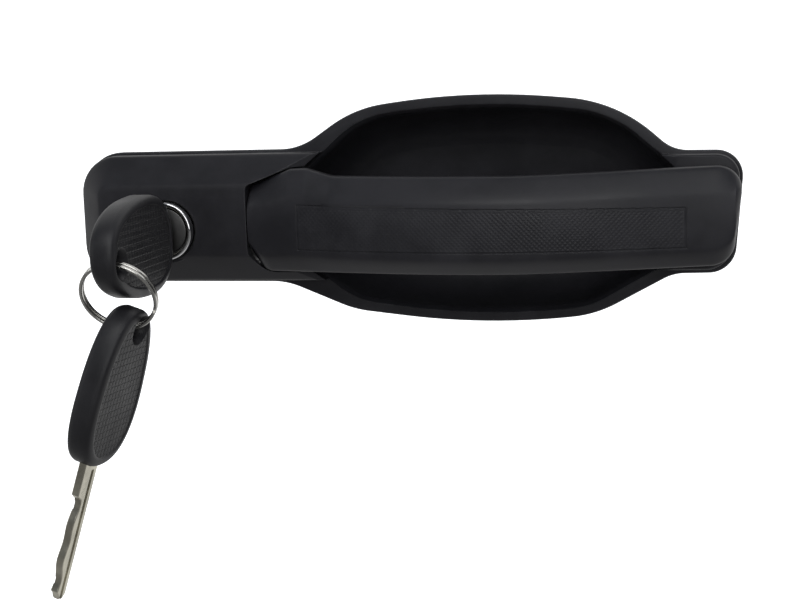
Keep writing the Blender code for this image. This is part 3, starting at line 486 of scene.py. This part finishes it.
def make_housing():
    flange_edge = [(0.0, 0.0), (0.0, -2.2), (0.12, -2.6), (0.4, -2.95), (0.9, -FLANGE_THICK)]
    housing = loft("housing", outline_rings(FLANGE_CORNERS, flange_edge))
    shoulder = [(0.0, -1.2), (0.0, -6.6)]
    shoulder += rounded_path([(0.0, -6.9), (0.15, -7.8), (1.0, -8.8), (8.0, -15.5),
                              (9.6, -16.7), (13.0, FACE_Y)], 2)
    boss = loft("boss", outline_rings(BOSS_CORNERS, shoulder))
    pedestal = loft("pedestal", outline_rings(PEDESTAL_CORNERS, [
        (0.0, -1.1), (0.0, -5.5), (0.15, -6.2), (0.6, -6.75), (1.6, PEDESTAL_Y),
    ]))
    bowl = loft("bowl", outline_rings(BOWL_CORNERS, bowl_levels(True)))
    add(housing, boss, pedestal, bowl)
    cut(housing,
        loft("boss_hollow", outline_rings(BOSS_CORNERS, [
            (WALL, 6.0), (WALL, -6.4), (2.9, -7.9), (9.4, -14.0), (11.5, -15.0),
        ], x_max=-49.6)),
        box("pocket_hollow", (-49.7, -5.0, -18.4), (-36.2, 6.0, 18.4)),
        loft("pedestal_hollow", outline_rings(PEDESTAL_CORNERS, [
            (WALL, 6.0), (WALL, -5.5),
        ], x_min=88.2)),
        loft("grip_pocket", outline_rings(GRIP_CORNERS, [
            (-0.4, -40.0), (-0.4, POCKET_FLOOR_Y),
        ], x_max=10.0)),
        loft("bowl_cavity", outline_rings(BOWL_CORNERS, bowl_levels(False))),
        slope_cutter("boss_slope", (-52.0, -20.5), (-19.0, -0.7 - FLANGE_THICK)),
        slope_cutter("pedestal_slope", (72.0, -0.7 - FLANGE_THICK), (92.0, -8.0)))

    x, z = LOCK
    parts = [rod("lock_tube", (x, -15.6, z), (x, -4.4, z), BARREL_R + 2.4, 64)]
    for name, (stud_x, stud_z) in STUDS.items():
        front = -15.6 if name == "rear" else -5.6
        post = rod(f"stud_boss_{name}", (stud_x, front, stud_z),
                   (stud_x, -GAP, stud_z), STUD_R + 1.5)
        if name == "rear":
            inside = [(inset + 0.7, y) for inset, y in shoulder[:1] + [(0.0, -7.4), (8.0, -15.2)]]
            combine(post, "INTERSECT", [loft("limit", outline_rings(BOSS_CORNERS, [
                (0.7, 1.0), *inside, (9.6, -15.65),
            ]))])
        parts.append(post)
    for name, low_z in (("upper", 5.3), ("lower", -8.3)):
        parts.append(box(f"hinge_ear_{name}", (93.6, -5.6, low_z), (102.6, -0.4, low_z + 3.0)))
    y, z = CRANK
    for name, low_x in CHEEKS_X.items():
        parts.append(box(f"crank_cheek_{name}", (low_x, -8.6, z - 4.0),
                         (low_x + 2.4, y + 4.0, 18.7)))
    add(housing, *parts)

    x, z = LOCK
    tools = [
        rod("lock_bore", (x, -30.0, z), (x, 10.0, z), BARREL_R + GAP, 64),
        rod("lock_spot_face", (x, -30.0, z), (x, -15.6, z), BARREL_R + 1.5, 64),
        box("tongue_slot", (-47.3, -12.0, -14.2), (-40.4, 2.0, 3.2)),
        box("knuckle_slot", (93.2, -12.0, -5.4), (103.7, 4.0, 5.4)),
        rod("hinge_bore", (*HINGE, -12.0), (*HINGE, 12.0), 1.65, 32),
        rod("crank_bore", (-66.0, *CRANK), (-47.0, *CRANK), CRANK_PIN_R + 0.05, 32),
    ]
    for name, (stud_x, stud_z) in STUDS.items():
        front = -13.0 if name == "rear" else -4.9
        tools.append(rod(f"stud_bore_{name}", (stud_x, front, stud_z), (stud_x, 10.0, stud_z),
                         STUD_R + 0.05))
    for name, z in BUMPERS_Z.items():
        tools.append(rod(f"bumper_hole_{name}", (BUMPER_X, -12.0, z), (BUMPER_X, -2.0, z),
                         1.8, 24))
    cut(housing, *tools)
    show(housing, "housing", sharp_deg=26.0)


def make_gasket():
    gasket = loft("gasket", outline_rings(FLANGE_CORNERS, [
        (0.6, GAP), (0.4, GAP + 0.2), (0.4, GAP + 1.2), (0.6, GAP + 1.4),
    ]))
    cut(gasket, loft("opening", outline_rings(FLANGE_CORNERS, [(2.1, -2.0), (2.1, 4.0)])))
    show(gasket, "gasket")


def threaded(name, start_y, end_y, x, z, radius):
    """A stud with a real helical thread on the part that stands out of the housing."""
    segments = 28
    step = THREAD_PITCH / 6.0
    levels = int((end_y - start_y) / step)
    rings = []
    for level in range(levels + 1):
        y = start_y + (end_y - start_y) * level / levels
        ring = []
        for i in range(segments):
            turn = i / segments
            phase = (y / THREAD_PITCH + turn) % 1.0
            depth = 0.38 * (1.0 - abs(2.0 * phase - 1.0)) if y > 0.5 else 0.0
            chamfer = max(0.0, y - end_y + 0.8)
            r = radius - max(depth, chamfer * 0.7)
            ring.append((x + r * math.cos(2.0 * math.pi * turn), y,
                         z + r * math.sin(2.0 * math.pi * turn)))
        rings.append(ring)
    return loft(name, rings)


def make_studs():
    for name, (x, z) in STUDS.items():
        front = -12.6 if name == "rear" else -4.6
        show(threaded("stud", front, 18.0, x, z, STUD_R), f"stud_{name}", sharp_deg=50.0)
        nut = turned("nut", [(5.7, 2.9), (5.9, 3.1), (5.9, 3.5), (5.6, 3.75), (4.6, 4.3),
                             (4.2, 4.5)], (x, 0.0, z), (0, 1, 0))
        hexagon = turned("hexagon", [(4.6, 3.9), (4.6, 8.2)], (x, 0.0, z), (0, 1, 0), 6)
        limit = turned("limit", [(5.6, 3.0), (5.6, 7.3), (3.9, 8.2)], (x, 0.0, z), (0, 1, 0))
        combine(hexagon, "INTERSECT", [limit])
        add(nut, hexagon)
        cut(nut, turned("thread", [(3.1, 8.3), (2.55, 7.7), (2.55, 3.4), (3.1, 2.8)],
                        (x, 0.0, z), (0, 1, 0), 48))
        show(nut, f"stud_nut_{name}")


# ---------------------------------------------------------------- grip
def bow(x):
    t = (x - GRIP_MID_X) / GRIP_HALF
    return GRIP_BOW * max(0.0, 1.0 - t * t) ** 1.6


def span(outline, x):
    """Lowest and highest z where a vertical line at x crosses the outline."""
    heights = []
    for a, b in zip(outline, outline[1:] + outline[:1]):
        if (a.x - x) * (b.x - x) <= 0.0 and a.x != b.x:
            heights.append(a.y + (b.y - a.y) * (x - a.x) / (b.x - a.x))
    return min(heights), max(heights)


def grip_section(x, low, high, shrink=0.0, rear=GRIP_REAR_Y):
    """Section of the grip at x: flat back, upright sides, bevels and a crowned face."""
    height = high - low
    full = min(1.0, height / 20.0) ** 0.5
    out = bow(x)
    side = GRIP_SIDE_Y - out
    face = side + (FACE_Y - GRIP_SIDE_Y) * full - 1.2 * full * out / GRIP_BOW
    side += shrink * 0.3
    face += shrink
    top = 0.27 * height
    base = 0.18 * height
    middle = 0.5 * (low + high)
    return [
        (x, rear - out, high), (x, side, high), (x, side - 1.0 * full, high - 0.5 * full),
        (x, face + 1.2 * full, high - 0.8 * top), (x, face + 0.3 * full, high - 1.1 * top),
        (x, face - 0.25 * full, middle),
        (x, face + 0.2 * full, low + 1.15 * base), (x, face + 1.1 * full, low + 0.8 * base),
        (x, side - 1.0 * full, low + 0.5 * full), (x, side, low), (x, rear - out, low),
    ]


def panel_depth(x, z):
    """How far the grip's face is sunk: a crossed knurl inside a thin border groove."""
    along = (x - PANEL_X[0]) / (PANEL_X[1] - PANEL_X[0])
    top = PANEL_TOP[0] + (PANEL_TOP[1] - PANEL_TOP[0]) * along
    inside = min(x - PANEL_X[0], PANEL_X[1] - x, top - z, z - PANEL_BASE)
    if inside < 0.0:
        return 0.0
    if inside < 0.5:
        return 0.25
    if inside < 0.9:
        return 0.04
    first = abs(((x + z) / KNURL_PITCH) % 1.0 - 0.5) * 2.0
    second = abs(((x - z) / KNURL_PITCH) % 1.0 - 0.5) * 2.0
    return KNURL_DEPTH * (1.0 - min(first, second)) ** 1.5


def grip_ring(x, low, high):
    """The grip's section at x, with its points closest together across the face."""
    curve = rounded_path(grip_section(x, low, high), 3)
    top = high - 0.3 * (high - low)
    base = low + 0.2 * (high - low)
    ring = evenly([p for p in curve if p[2] > top], 24)
    k = 0
    for i in range(84):
        z = top + (base - top) * i / 83
        while curve[k + 1][2] > z:
            k += 1
        before = Vector(curve[k])
        after = Vector(curve[k + 1])
        point = before.lerp(after, (before.z - z) / (before.z - after.z))
        ring.append(point + Vector((0.0, panel_depth(x, z), 0.0)))
    return ring + evenly([p for p in curve if p[2] < base], 24)


def grip_stations(outline, step):
    """X positions along the grip, much closer together where its ends round off."""
    left = min(p.x for p in outline) + 0.01
    right = max(p.x for p in outline) - 0.05
    stations = []
    x = left
    while x < right:
        stations.append(x)
        from_end = min(x - left, right - x)
        x += min(step, 0.05 + 0.12 * from_end)
    return stations + [right]


def make_grip_cover():
    outline = rounded_outline(GRIP_CORNERS, 0.0, 20)
    rings = [grip_ring(x, *span(outline, x)) for x in grip_stations(outline, 0.25)]
    cover = loft("grip_cover", rings, (*HINGE, 0.0))
    inner = rounded_outline(GRIP_CORNERS, WALL, 6)
    rings = []
    for x in grip_stations(inner, 6.0):
        low, high = span(inner, x)
        rings.append(grip_section(x, low, high, WALL * 0.9, GRIP_REAR_Y + 8.0))
    cut(cover, loft("hollow", rings))
    z = GRIP_SCREW_Z
    places = GRIP_SCREWS.values()
    add(cover, *[rod("boss", (x, GRIP_SIDE_Y - bow(x) - 0.5, z),
                     (x, FACE_Y - bow(x) + 0.8, z), 3.2, 32) for x in places])
    cut(cover, *[rod("hole", (x, 0.0, z), (x, FACE_Y - bow(x) + 1.8, z), 1.3, 24)
                 for x in places])
    show(cover, "grip_cover", sharp_deg=40.0)


def make_grip_back():
    outline = rounded_outline(GRIP_CORNERS, WALL + GAP, 16)
    rings = []
    for x in grip_stations(outline, 1.5):
        low, high = span(outline, x)
        out = bow(x)
        front = GRIP_REAR_Y - out - 1.9
        rear = GRIP_REAR_Y - out
        ease = min(1.4, 0.3 * (high - low))
        rings.append([
            (x, front, high), (x, rear - 0.5, high), (x, rear - 0.15, high - 0.35 * ease),
            (x, rear, high - ease), (x, rear, low + ease), (x, rear - 0.15, low + 0.35 * ease),
            (x, rear - 0.5, low), (x, front, low),
        ])
    back = loft("grip_back", rings, (*HINGE, 0.0))
    hinge_x, hinge_y = HINGE
    half = KNUCKLE_HALF
    window_y = CRANK[0] + CRANK_ARM * math.sin(math.radians(CRANK_SWING_DEG / 2.0))
    add(back,
        rod("knuckle", (*HINGE, -half), (*HINGE, half), 4.3),
        box("web", (hinge_x - 3.4, GRIP_REAR_Y - 1.4, -half), (hinge_x + 3.6, hinge_y, half)),
        box("tongue", (TONGUE_X[0], GRIP_REAR_Y + GAP, -13.6), (TONGUE_X[1], window_y + 7.0, 2.2)),
        box("root", (TONGUE_X[0] + 0.8, GRIP_REAR_Y - 1.5, -9.0),
            (TONGUE_X[1] + 0.8, 5.0, 1.6)))
    window_z = CRANK[1] - CRANK_ARM
    cut(back,
        box("window", (-50.0, window_y - 3.6, window_z - 2.6),
            (-38.0, window_y + 3.6, window_z + 6.0)),
        rod("bore", (*HINGE, -8.0), (*HINGE, 8.0), 2.8))
    z = GRIP_SCREW_Z
    for x in GRIP_SCREWS.values():
        cut(back,
            rod("clearance", (x, GRIP_REAR_Y - bow(x) - 4.0, z), (x, 4.0, z), 1.9, 32),
            rod("sink", (x, GRIP_REAR_Y - bow(x) - 0.9, z), (x, 4.0, z), 3.3, 40))
    show(back, "grip_back")


def make_grip_screws():
    z = GRIP_SCREW_Z
    arm = 1.8
    half = 0.35
    for name, x in GRIP_SCREWS.items():
        seat = GRIP_REAR_Y - bow(x) - 0.6
        screw = turned("screw", [(1.0, -5.4), (1.0, 0.0), (2.7, 0.0), (2.9, 0.2), (2.85, 0.6),
                                 (2.5, 0.95), (1.9, 1.1)], (x, seat, z), (0, 1, 0), 40,
                       origin=(*HINGE, 0.0))
        cut(screw, *[box("slot", (x - wide, seat + 0.5, z - high),
                         (x + wide, seat + 3.0, z + high))
                     for wide, high in ((half, arm), (arm, half))])
        show(screw, f"grip_screw_{name}")


# ---------------------------------------------------------------- bellcrank
def crank_point(reach, angle_deg):
    """(y, z) at a distance from the bellcrank's pivot; 0 degrees is straight down."""
    angle = math.radians(angle_deg)
    return CRANK[0] + reach * math.sin(angle), CRANK[1] - reach * math.cos(angle)


def arm_plate(low_x, high_x, tip, root_r, tip_r):
    """Plate from the pivot to a (y, z) tip, rounded at both ends."""
    root = Vector(CRANK)
    way = (Vector(tip) - root).normalized()
    heading = math.atan2(way.y, way.x)
    ring = []
    for centre, radius, start in ((Vector(tip), tip_r, -90.0), (root, root_r, 90.0)):
        for k in range(25):
            angle = heading + math.radians(start + 7.5 * k)
            ring.append(centre + Vector((math.cos(angle), math.sin(angle))) * radius)
    return loft("arm", [[(x, p.x, p.y) for p in ring] for x in (low_x, high_x)])


def make_bellcrank():
    finger = crank_point(CRANK_ARM, CRANK_SWING_DEG / 2.0)
    eye = crank_point(ROD_ARM, ROD_ARM_DEG)
    low_x, high_x = CRANK_HUB_X
    crank = rod("bellcrank", (low_x, *CRANK), (high_x, *CRANK), 3.7, 64, (0.0, *CRANK))
    add(crank,
        arm_plate(high_x - 3.2, high_x - 0.6, finger, 4.2, 3.2),
        arm_plate(low_x + 0.1, low_x + 2.3, eye, 4.2, 3.4),
        rod("finger", (high_x - 2.6, *finger), (-39.6, *finger), 2.0))
    cut(crank,
        rod("bore", (-70.0, *CRANK), (-40.0, *CRANK), CRANK_PIN_R + 0.08),
        rod("eye", (-70.0, *eye), (-58.0, *eye), 1.9, 32))
    show(crank, "bellcrank")


def wire(name, path, radius, sides=12):
    """Round wire along a list of points."""
    rings = []
    up = None
    for i, point in enumerate(path):
        ahead = Vector(path[min(i + 1, len(path) - 1)])
        behind = Vector(path[max(i - 1, 0)])
        way = (ahead - behind).normalized()
        up = way.orthogonal() if up is None else up - way * up.dot(way)
        up.normalize()
        across = way.cross(up)
        ring = []
        for k in range(sides):
            angle = 2.0 * math.pi * k / sides
            ring.append(Vector(point) + (up * math.cos(angle) + across * math.sin(angle)) * radius)
        rings.append(ring)
    return loft(name, rings)


def make_bellcrank_spring():
    y, z = CRANK
    radius = 4.75
    turns = 3.25
    steps = 150
    path = [(-58.7, y - 12.2, z + radius)]
    for i in range(steps + 1):
        angle = math.radians(90.0 - 360.0 * turns * i / steps)
        path.append((-58.7 + 3.5 * i / steps, y + radius * math.cos(angle),
                     z + radius * math.sin(angle)))
    last = Vector(path[-1])
    way = last - Vector(path[-2])
    way.x = 0.0
    path.append(last + way.normalized() * 7.0)
    show(wire("spring", path, 0.45), "bellcrank_spring")


# ---------------------------------------------------------------- lock
def make_lock():
    x, z = LOCK
    start = (x, 0.0, z)
    barrel = turned("barrel", [
        (7.7, -19.1), (8.1, -19.1), (BARREL_R, -18.9), (BARREL_R, 25.2), (8.0, 25.4),
        (PLUG_R + 0.15, 25.4), (PLUG_R + 0.15, -17.5), (7.6, -17.5),
    ], start, (0, 1, 0), 96, ring=True)
    cut(barrel, *[box("groove", (x + near, -4.1, z - 10.0), (x + near + 4.6, -2.5, z + 10.0))
                  for near in (-12.0, 7.4)])
    show(barrel, "lock_barrel")

    crown = rounded_path([(9.35, -17.2), (9.35, -19.3), (9.0, -20.1), (8.0, -20.1),
                          (7.9, -19.5)], 2)
    bezel = [(BARREL_R + GAP, -16.6), (9.35, -16.6)] + crown + [(BARREL_R + GAP, -19.4)]
    show(turned("bezel", bezel, start, (0, 1, 0), 96, ring=True), "lock_bezel")

    plug = turned("plug", [
        (6.9, -19.2), (7.2, -19.1), (7.3, -18.9), (7.3, -17.7), (PLUG_R, -17.7),
        (PLUG_R, 27.2), (2.4, 27.2), (2.4, 32.3), (3.0, 32.3), (3.0, 33.1), (2.8, 33.3),
    ], start, (0, 1, 0), 96, origin=(x, 0.0, z))
    add(plug, box("square", (x - 3.0, 26.0, z - 3.0), (x + 3.0, 31.1, z + 3.0)))
    tools = [box("slot", (x - 1.5, -30.0, z - 4.6), (x + 1.5, 25.8, z + 4.6))]
    for i in range(5):
        y = -9.5 + 6.2 * i
        tools.append(box("wafer_slot", (x - 2.8, y - GAP, z - 8.0),
                         (x + 2.8, y + 0.9 + GAP, z + 8.0)))
    cut(plug, *tools)
    show(plug, "lock_plug", "dark_zinc")

    tip_z = z - CAM_ARM
    cam = rod("cam", (x, CAM_Y, z), (x, CAM_Y + 2.4, z), 6.4, 64, (x, 0.0, z))
    add(cam,
        box("arm", (x - 3.4, CAM_Y + 0.01, tip_z), (x + 3.4, CAM_Y + 2.39, z)),
        rod("tip", (x, CAM_Y + 0.02, tip_z), (x, CAM_Y + 2.38, tip_z), 3.4))
    cut(cam,
        box("square", (x - 3.15, 20.0, z - 3.15), (x + 3.15, 40.0, z + 3.15)),
        rod("eye", (x, 20.0, tip_z), (x, 40.0, tip_z), 1.9, 32))
    show(cam, "lock_cam")


def make_lock_spring():
    x, z = LOCK
    radius = BARREL_R + 0.95
    spread = math.radians(26.0)
    start_angle = -math.pi / 2.0 - spread
    turns = 4.0 * math.pi + 2.0 * spread
    steps = 180
    path = [(x + radius * math.cos(start_angle), 30.4, z + radius * math.sin(start_angle))]
    for i in range(steps + 1):
        angle = start_angle + turns * i / steps
        path.append((x + radius * math.cos(angle), 14.4 + 2.6 * i / steps,
                     z + radius * math.sin(angle)))
    end_angle = start_angle + turns
    path.append((x + radius * math.cos(end_angle), 30.4, z + radius * math.sin(end_angle)))
    show(wire("spring", path, 0.45), "lock_return_spring")


# ---------------------------------------------------------------- keys
def egg_point(angle, inset):
    """Outline of a key head: narrower at the ring end, wide near the blade."""
    half = HEAD_LENGTH / 2.0
    along = math.cos(angle)
    across = math.sin(angle)
    width = HEAD_HALF_WIDTH * (1.0 + 0.13 * along)
    square = (abs(along) ** 2.4 + abs(across) ** 2.4) ** (-1.0 / 2.4)
    y = (half - inset) * along * square - half
    return y, (width - inset) * across * square - HEAD_DROP


def make_key(prefix, matrix):
    """A key in its own frame: origin at the shoulder, blade along +Y, flats facing X."""
    half = HEAD_THICK / 2.0
    rim = rounded_path([(3.2, -half + 0.32), (2.9, -half), (2.0, -half), (0.5, 0.5 - half),
                        (0.0, 1.9 - half)], 2)
    rim = [(4.0, -half + 0.32)] + rim
    levels = rim + [(inset, -x) for inset, x in reversed(rim)]
    rings = []
    for inset, x in levels:
        ring = []
        for i in range(120):
            y, z = egg_point(2.0 * math.pi * i / 120, inset)
            ring.append((x, y, z))
        rings.append(ring)
    shift = Vector(ORIGIN)

    def here(points):
        return [[Vector(p) + shift for p in ring] for ring in points]

    head = loft("head", here(rings), shift)
    hole_y, hole_z = KEY_HOLE
    centre = Vector((0.0, hole_y, hole_z)) + shift
    waist = rounded_path([(5.4, -half - 0.3), (4.6, -half + 0.4), (3.3, -1.6), (3.3, 1.6),
                          (4.6, half - 0.4), (5.4, half + 0.3)], 1)
    cut(head, turned("hole", waist, centre, (1, 0, 0)),
        box("tang", Vector((-1.55, -14.3, -3.3)) + shift, Vector((1.55, 3.0, 3.3)) + shift),
        box("neck", Vector((-1.55, -2.2, -4.6)) + shift, Vector((1.55, 3.0, 4.6)) + shift))
    for face in head.data.polygons:
        middle = face.center / MM
        flat = abs(face.normal.x) > 0.98 and abs(abs(middle.x) - (half - 0.32)) < 0.06
        face.material_index = 1 if flat else 0

    low = -BLADE_WIDTH / 2.0
    high = BLADE_WIDTH / 2.0
    outline = [(-14.0, -3.0), (-14.0, 3.0), (-1.8, 3.0), (-1.8, high), (9.6, high),
               (10.6, high - 1.3)]
    steps = 90
    for i in range(steps + 1):
        t = i / steps
        depth = 2.0 + 1.1 * math.sin(11.5 * t + 0.6) * math.cos(4.0 * t)
        outline.append((11.4 + (BLADE_LENGTH - 15.0) * t, high - depth))
    outline += [(BLADE_LENGTH, low + 3.0), (BLADE_LENGTH, low + 1.6),
                (BLADE_LENGTH - 1.6, low), (-1.8, low), (-1.8, -3.0)]
    wide = BLADE_THICK / 2.0
    rings = []
    for inset, x in ((0.3, -wide), (0.0, 0.25 - wide), (0.0, wide - 0.25), (0.3, wide)):
        ring = []
        for i, (y, z) in enumerate(outline):
            before = Vector(outline[i - 1])
            after = Vector(outline[(i + 1) % len(outline)])
            way = (after - before).normalized()
            ring.append((x, y + way.y * inset, z - way.x * inset))
        rings.append(ring)
    blade = loft("blade", here(rings), shift)
    grooves = []
    for side, z in ((-1.0, -1.3), (1.0, 0.5)):
        near = side * (wide - 0.45)
        far = side * (wide + 1.0)
        grooves.append(box("groove", Vector((min(near, far), 2.0, z - 0.8)) + shift,
                           Vector((max(near, far), BLADE_LENGTH + 2.0, z + 0.8)) + shift))
    cut(blade, *grooves)
    for obj, node, look in ((head, f"{prefix}_head", ["key_plastic", "key_flat"]),
                            (blade, f"{prefix}_blade", None)):
        obj.matrix_world = matrix
        show(obj, node, look)


def key_ring_frame():
    """Centre of the ring and its in-plane directions (down, across)."""
    hole = Vector((LOCK[0], KEY_SHOULDER_Y + KEY_HOLE[0], LOCK[1] + KEY_HOLE[1]))
    centre = hole + RING_HANG * RING_R
    across = Vector((1.0, 0.0, 0.0))
    across = (across - RING_HANG * across.dot(RING_HANG)).normalized()
    return centre, RING_HANG, across


def make_key_ring():
    """Split ring: two turns of flat wire with a step from one to the other."""
    centre, down, across = key_ring_frame()
    normal = down.cross(across)
    hole = centre - down * RING_R
    half = RING_WIRE / 2.0
    ease = 0.6 * half
    section = [(-half, -ease), (-ease, -half), (ease, -half), (half, -ease),
               (half, ease), (ease, half), (-ease, half), (-half, ease)]
    steps = 260
    rings = []
    for i in range(steps + 1):
        ramp = min(1.0, max(0.0, (i / steps - 0.44) / 0.12))
        ramp = ramp * ramp * (3.0 - 2.0 * ramp)
        lift = RING_PITCH * (ramp - 0.5)
        angle = 4.0 * math.pi * i / steps + math.radians(62.0)
        out = down * math.cos(angle) + across * math.sin(angle)
        rings.append([centre + out * (RING_R + r) + normal * (lift + a) for r, a in section])
    show(loft("ring", rings, hole), "key_ring", "ring_steel")


def spare_key_matrix():
    """World placement of the spare key, hanging on the ring by its hole."""
    centre, down, across = key_ring_frame()
    angle = math.radians(SPARE_RING_DEG)
    hole = centre + (down * math.cos(angle) + across * math.sin(angle)) * RING_R
    axis = SPARE_AXIS
    flat = Vector((-axis.z, 0.0, axis.x))
    flat.rotate(Matrix.Rotation(math.radians(-SPARE_TURN_DEG), 3, -axis))
    if flat.x < 0.0:
        flat.negate()
    x_axis = -flat
    turn = Matrix((x_axis, axis, x_axis.cross(axis))).transposed()
    shoulder = hole - turn @ Vector((0.0, *KEY_HOLE)) - ORIGIN
    return Matrix.LocRotScale(shoulder * MM, turn, None)


def make_keys():
    shoulder = Vector((LOCK[0], KEY_SHOULDER_Y, LOCK[1])) - ORIGIN
    make_key("key", Matrix.Translation(shoulder * MM))
    make_key("spare_key", spare_key_matrix())
    make_key_ring()


def dress_small_parts():
    """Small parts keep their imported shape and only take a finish."""
    for node, obj in frame["nodes"].items():
        if not obj.hide_render:
            obj.data.materials.clear()
            obj.data.materials.append(FINISH[SLOTS[node]])


# ---------------------------------------------------------------- studio
def seen_only(mat, shown, lit):
    """Show one shader to the camera and give another to light and reflections."""
    tree = mat.node_tree
    path = tree.nodes.new("ShaderNodeLightPath")
    pick = tree.nodes.new("ShaderNodeMixShader")
    tree.links.new(path.outputs["Is Camera Ray"], pick.inputs["Fac"])
    tree.links.new(lit, pick.inputs[1])
    tree.links.new(shown, pick.inputs[2])
    return pick.outputs["Shader"]


def filled(mat, strength, extra):
    """A strength that is raised for diffuse light only, so that hollows aren't left black."""
    tree = mat.node_tree
    path = tree.nodes.new("ShaderNodeLightPath")
    total = tree.nodes.new("ShaderNodeMath")
    total.operation = "MULTIPLY_ADD"
    total.inputs[1].default_value = extra
    tree.links.new(path.outputs["Is Diffuse Ray"], total.inputs[0])
    tree.links.new(strength, total.inputs[2])
    return total.outputs["Value"]


def make_backdrop():
    """A pale floor that curves up into a wall, and throws light back only from behind."""
    floor_z = -300.0
    wall_y = 900.0
    radius = 400.0
    path = [(-3000.0, floor_z), (wall_y - radius, floor_z)]
    for k in range(1, 17):
        angle = math.radians(90.0 * k / 16)
        path.append((wall_y - radius + radius * math.sin(angle),
                     floor_z + radius - radius * math.cos(angle)))
    path.append((wall_y, 3000.0))
    points = [(x, y, z) for x in (-4000.0, 4000.0) for y, z in path]
    count = len(path)
    faces = [(i, i + 1, count + i + 1, count + i) for i in range(count - 1)]
    floor = mesh_object("floor", points, faces)
    mat = bpy.data.materials.new("pale_floor")
    mat.use_nodes = True
    nodes = mat.node_tree.nodes
    link = mat.node_tree.links.new
    shader = nodes["Principled BSDF"]
    shader.inputs["Base Color"].default_value = (0.9, 0.9, 0.9, 1.0)
    shader.inputs["Roughness"].default_value = 0.9
    shader.inputs["Emission Color"].default_value = (1.0, 1.0, 1.0, 1.0)
    shader.inputs["Emission Strength"].default_value = 0.8
    where = nodes.new("ShaderNodeNewGeometry")
    split = nodes.new("ShaderNodeSeparateXYZ")
    link(where.outputs["Position"], split.inputs["Vector"])
    fade = nodes.new("ShaderNodeMapRange")
    fade.inputs["From Min"].default_value = -0.2
    fade.inputs["From Max"].default_value = 0.5
    fade.inputs["To Min"].default_value = 0.16
    fade.inputs["To Max"].default_value = 0.9
    link(split.outputs["Y"], fade.inputs["Value"])
    bounce = nodes.new("ShaderNodeEmission")
    link(filled(mat, fade.outputs["Result"], 0.6), bounce.inputs["Strength"])
    seen = seen_only(mat, shader.outputs["BSDF"], bounce.outputs["Emission"])
    link(seen, nodes["Material Output"].inputs["Surface"])
    floor.data.materials.append(mat)
    floor.data.shade_smooth()


def softbox(name, place, target, size, power):
    data = bpy.data.lights.new(name, "AREA")
    data.shape = "RECTANGLE"
    data.size = size[0]
    data.size_y = size[1]
    data.energy = power
    lamp = bpy.data.objects.new(name, data)
    lamp.location = place
    lamp.rotation_mode = "QUATERNION"
    lamp.rotation_quaternion = (Vector(target) - Vector(place)).to_track_quat("-Z", "Y")
    bpy.context.collection.objects.link(lamp)


def make_world():
    """White where the camera sees it, otherwise a dim sky that is brighter overhead."""
    world = bpy.data.worlds.new("studio")
    world.use_nodes = True
    nodes = world.node_tree.nodes
    link = world.node_tree.links.new
    white = nodes["Background"]
    white.inputs["Color"].default_value = (1.0, 1.0, 1.0, 1.0)
    sky = nodes.new("ShaderNodeBackground")
    sky.inputs["Color"].default_value = (0.86, 0.92, 1.0, 1.0)
    where = nodes.new("ShaderNodeTexCoord")
    split = nodes.new("ShaderNodeSeparateXYZ")
    link(where.outputs["Generated"], split.inputs["Vector"])
    rise = nodes.new("ShaderNodeMapRange")
    rise.inputs["From Min"].default_value = -0.2
    rise.inputs["To Min"].default_value = 0.04
    rise.inputs["To Max"].default_value = 0.2
    link(split.outputs["Z"], rise.inputs["Value"])
    link(filled(world, rise.outputs["Result"], 0.5), sky.inputs["Strength"])
    seen = seen_only(world, white.outputs["Background"], sky.outputs["Background"])
    link(seen, nodes["World Output"].inputs["Surface"])
    bpy.context.scene.world = world


def make_lights():
    middle = (0.105, 0.0, 0.0)
    softbox("top_light", (0.20, -0.62, 0.62), middle, (0.7, 0.4), 3.0)
    softbox("front_light", (0.34, -0.95, 0.16), middle, (0.5, 0.4), 1.5)
    softbox("left_light", (-0.8, -0.5, 0.2), middle, (0.3, 0.6), 0.8)


def make_camera():
    """The photograph's viewpoint: a little left of the middle and above the handle."""
    place = Vector((105.0, -487.0, 48.0)) - ORIGIN
    target = Vector((-2.0, 0.0, -28.0)) - ORIGIN
    roll = math.radians(-1.8)
    ahead = (target - place).normalized()
    right = ahead.cross(Vector((0.0, 0.0, 1.0))).normalized()
    up = right.cross(ahead)
    tilted_right = right * math.cos(roll) + up * math.sin(roll)
    tilted_up = up * math.cos(roll) - right * math.sin(roll)
    data = bpy.data.cameras.new("camera")
    data.lens = 70.2
    data.sensor_width = 36.0
    data.clip_start = 0.01
    camera = bpy.data.objects.new("camera", data)
    matrix = Matrix((tilted_right, tilted_up, -ahead)).transposed().to_4x4()
    matrix.translation = place * MM
    camera.matrix_world = matrix
    bpy.context.collection.objects.link(camera)
    bpy.context.scene.camera = camera


make_housing()
make_gasket()
make_studs()
make_grip_cover()
make_grip_back()
make_grip_screws()
make_bellcrank()
make_bellcrank_spring()
make_lock()
make_lock_spring()
make_keys()
dress_small_parts()
make_backdrop()
make_world()
make_lights()
make_camera()
bpy.context.scene.view_settings.view_transform = "Standard"
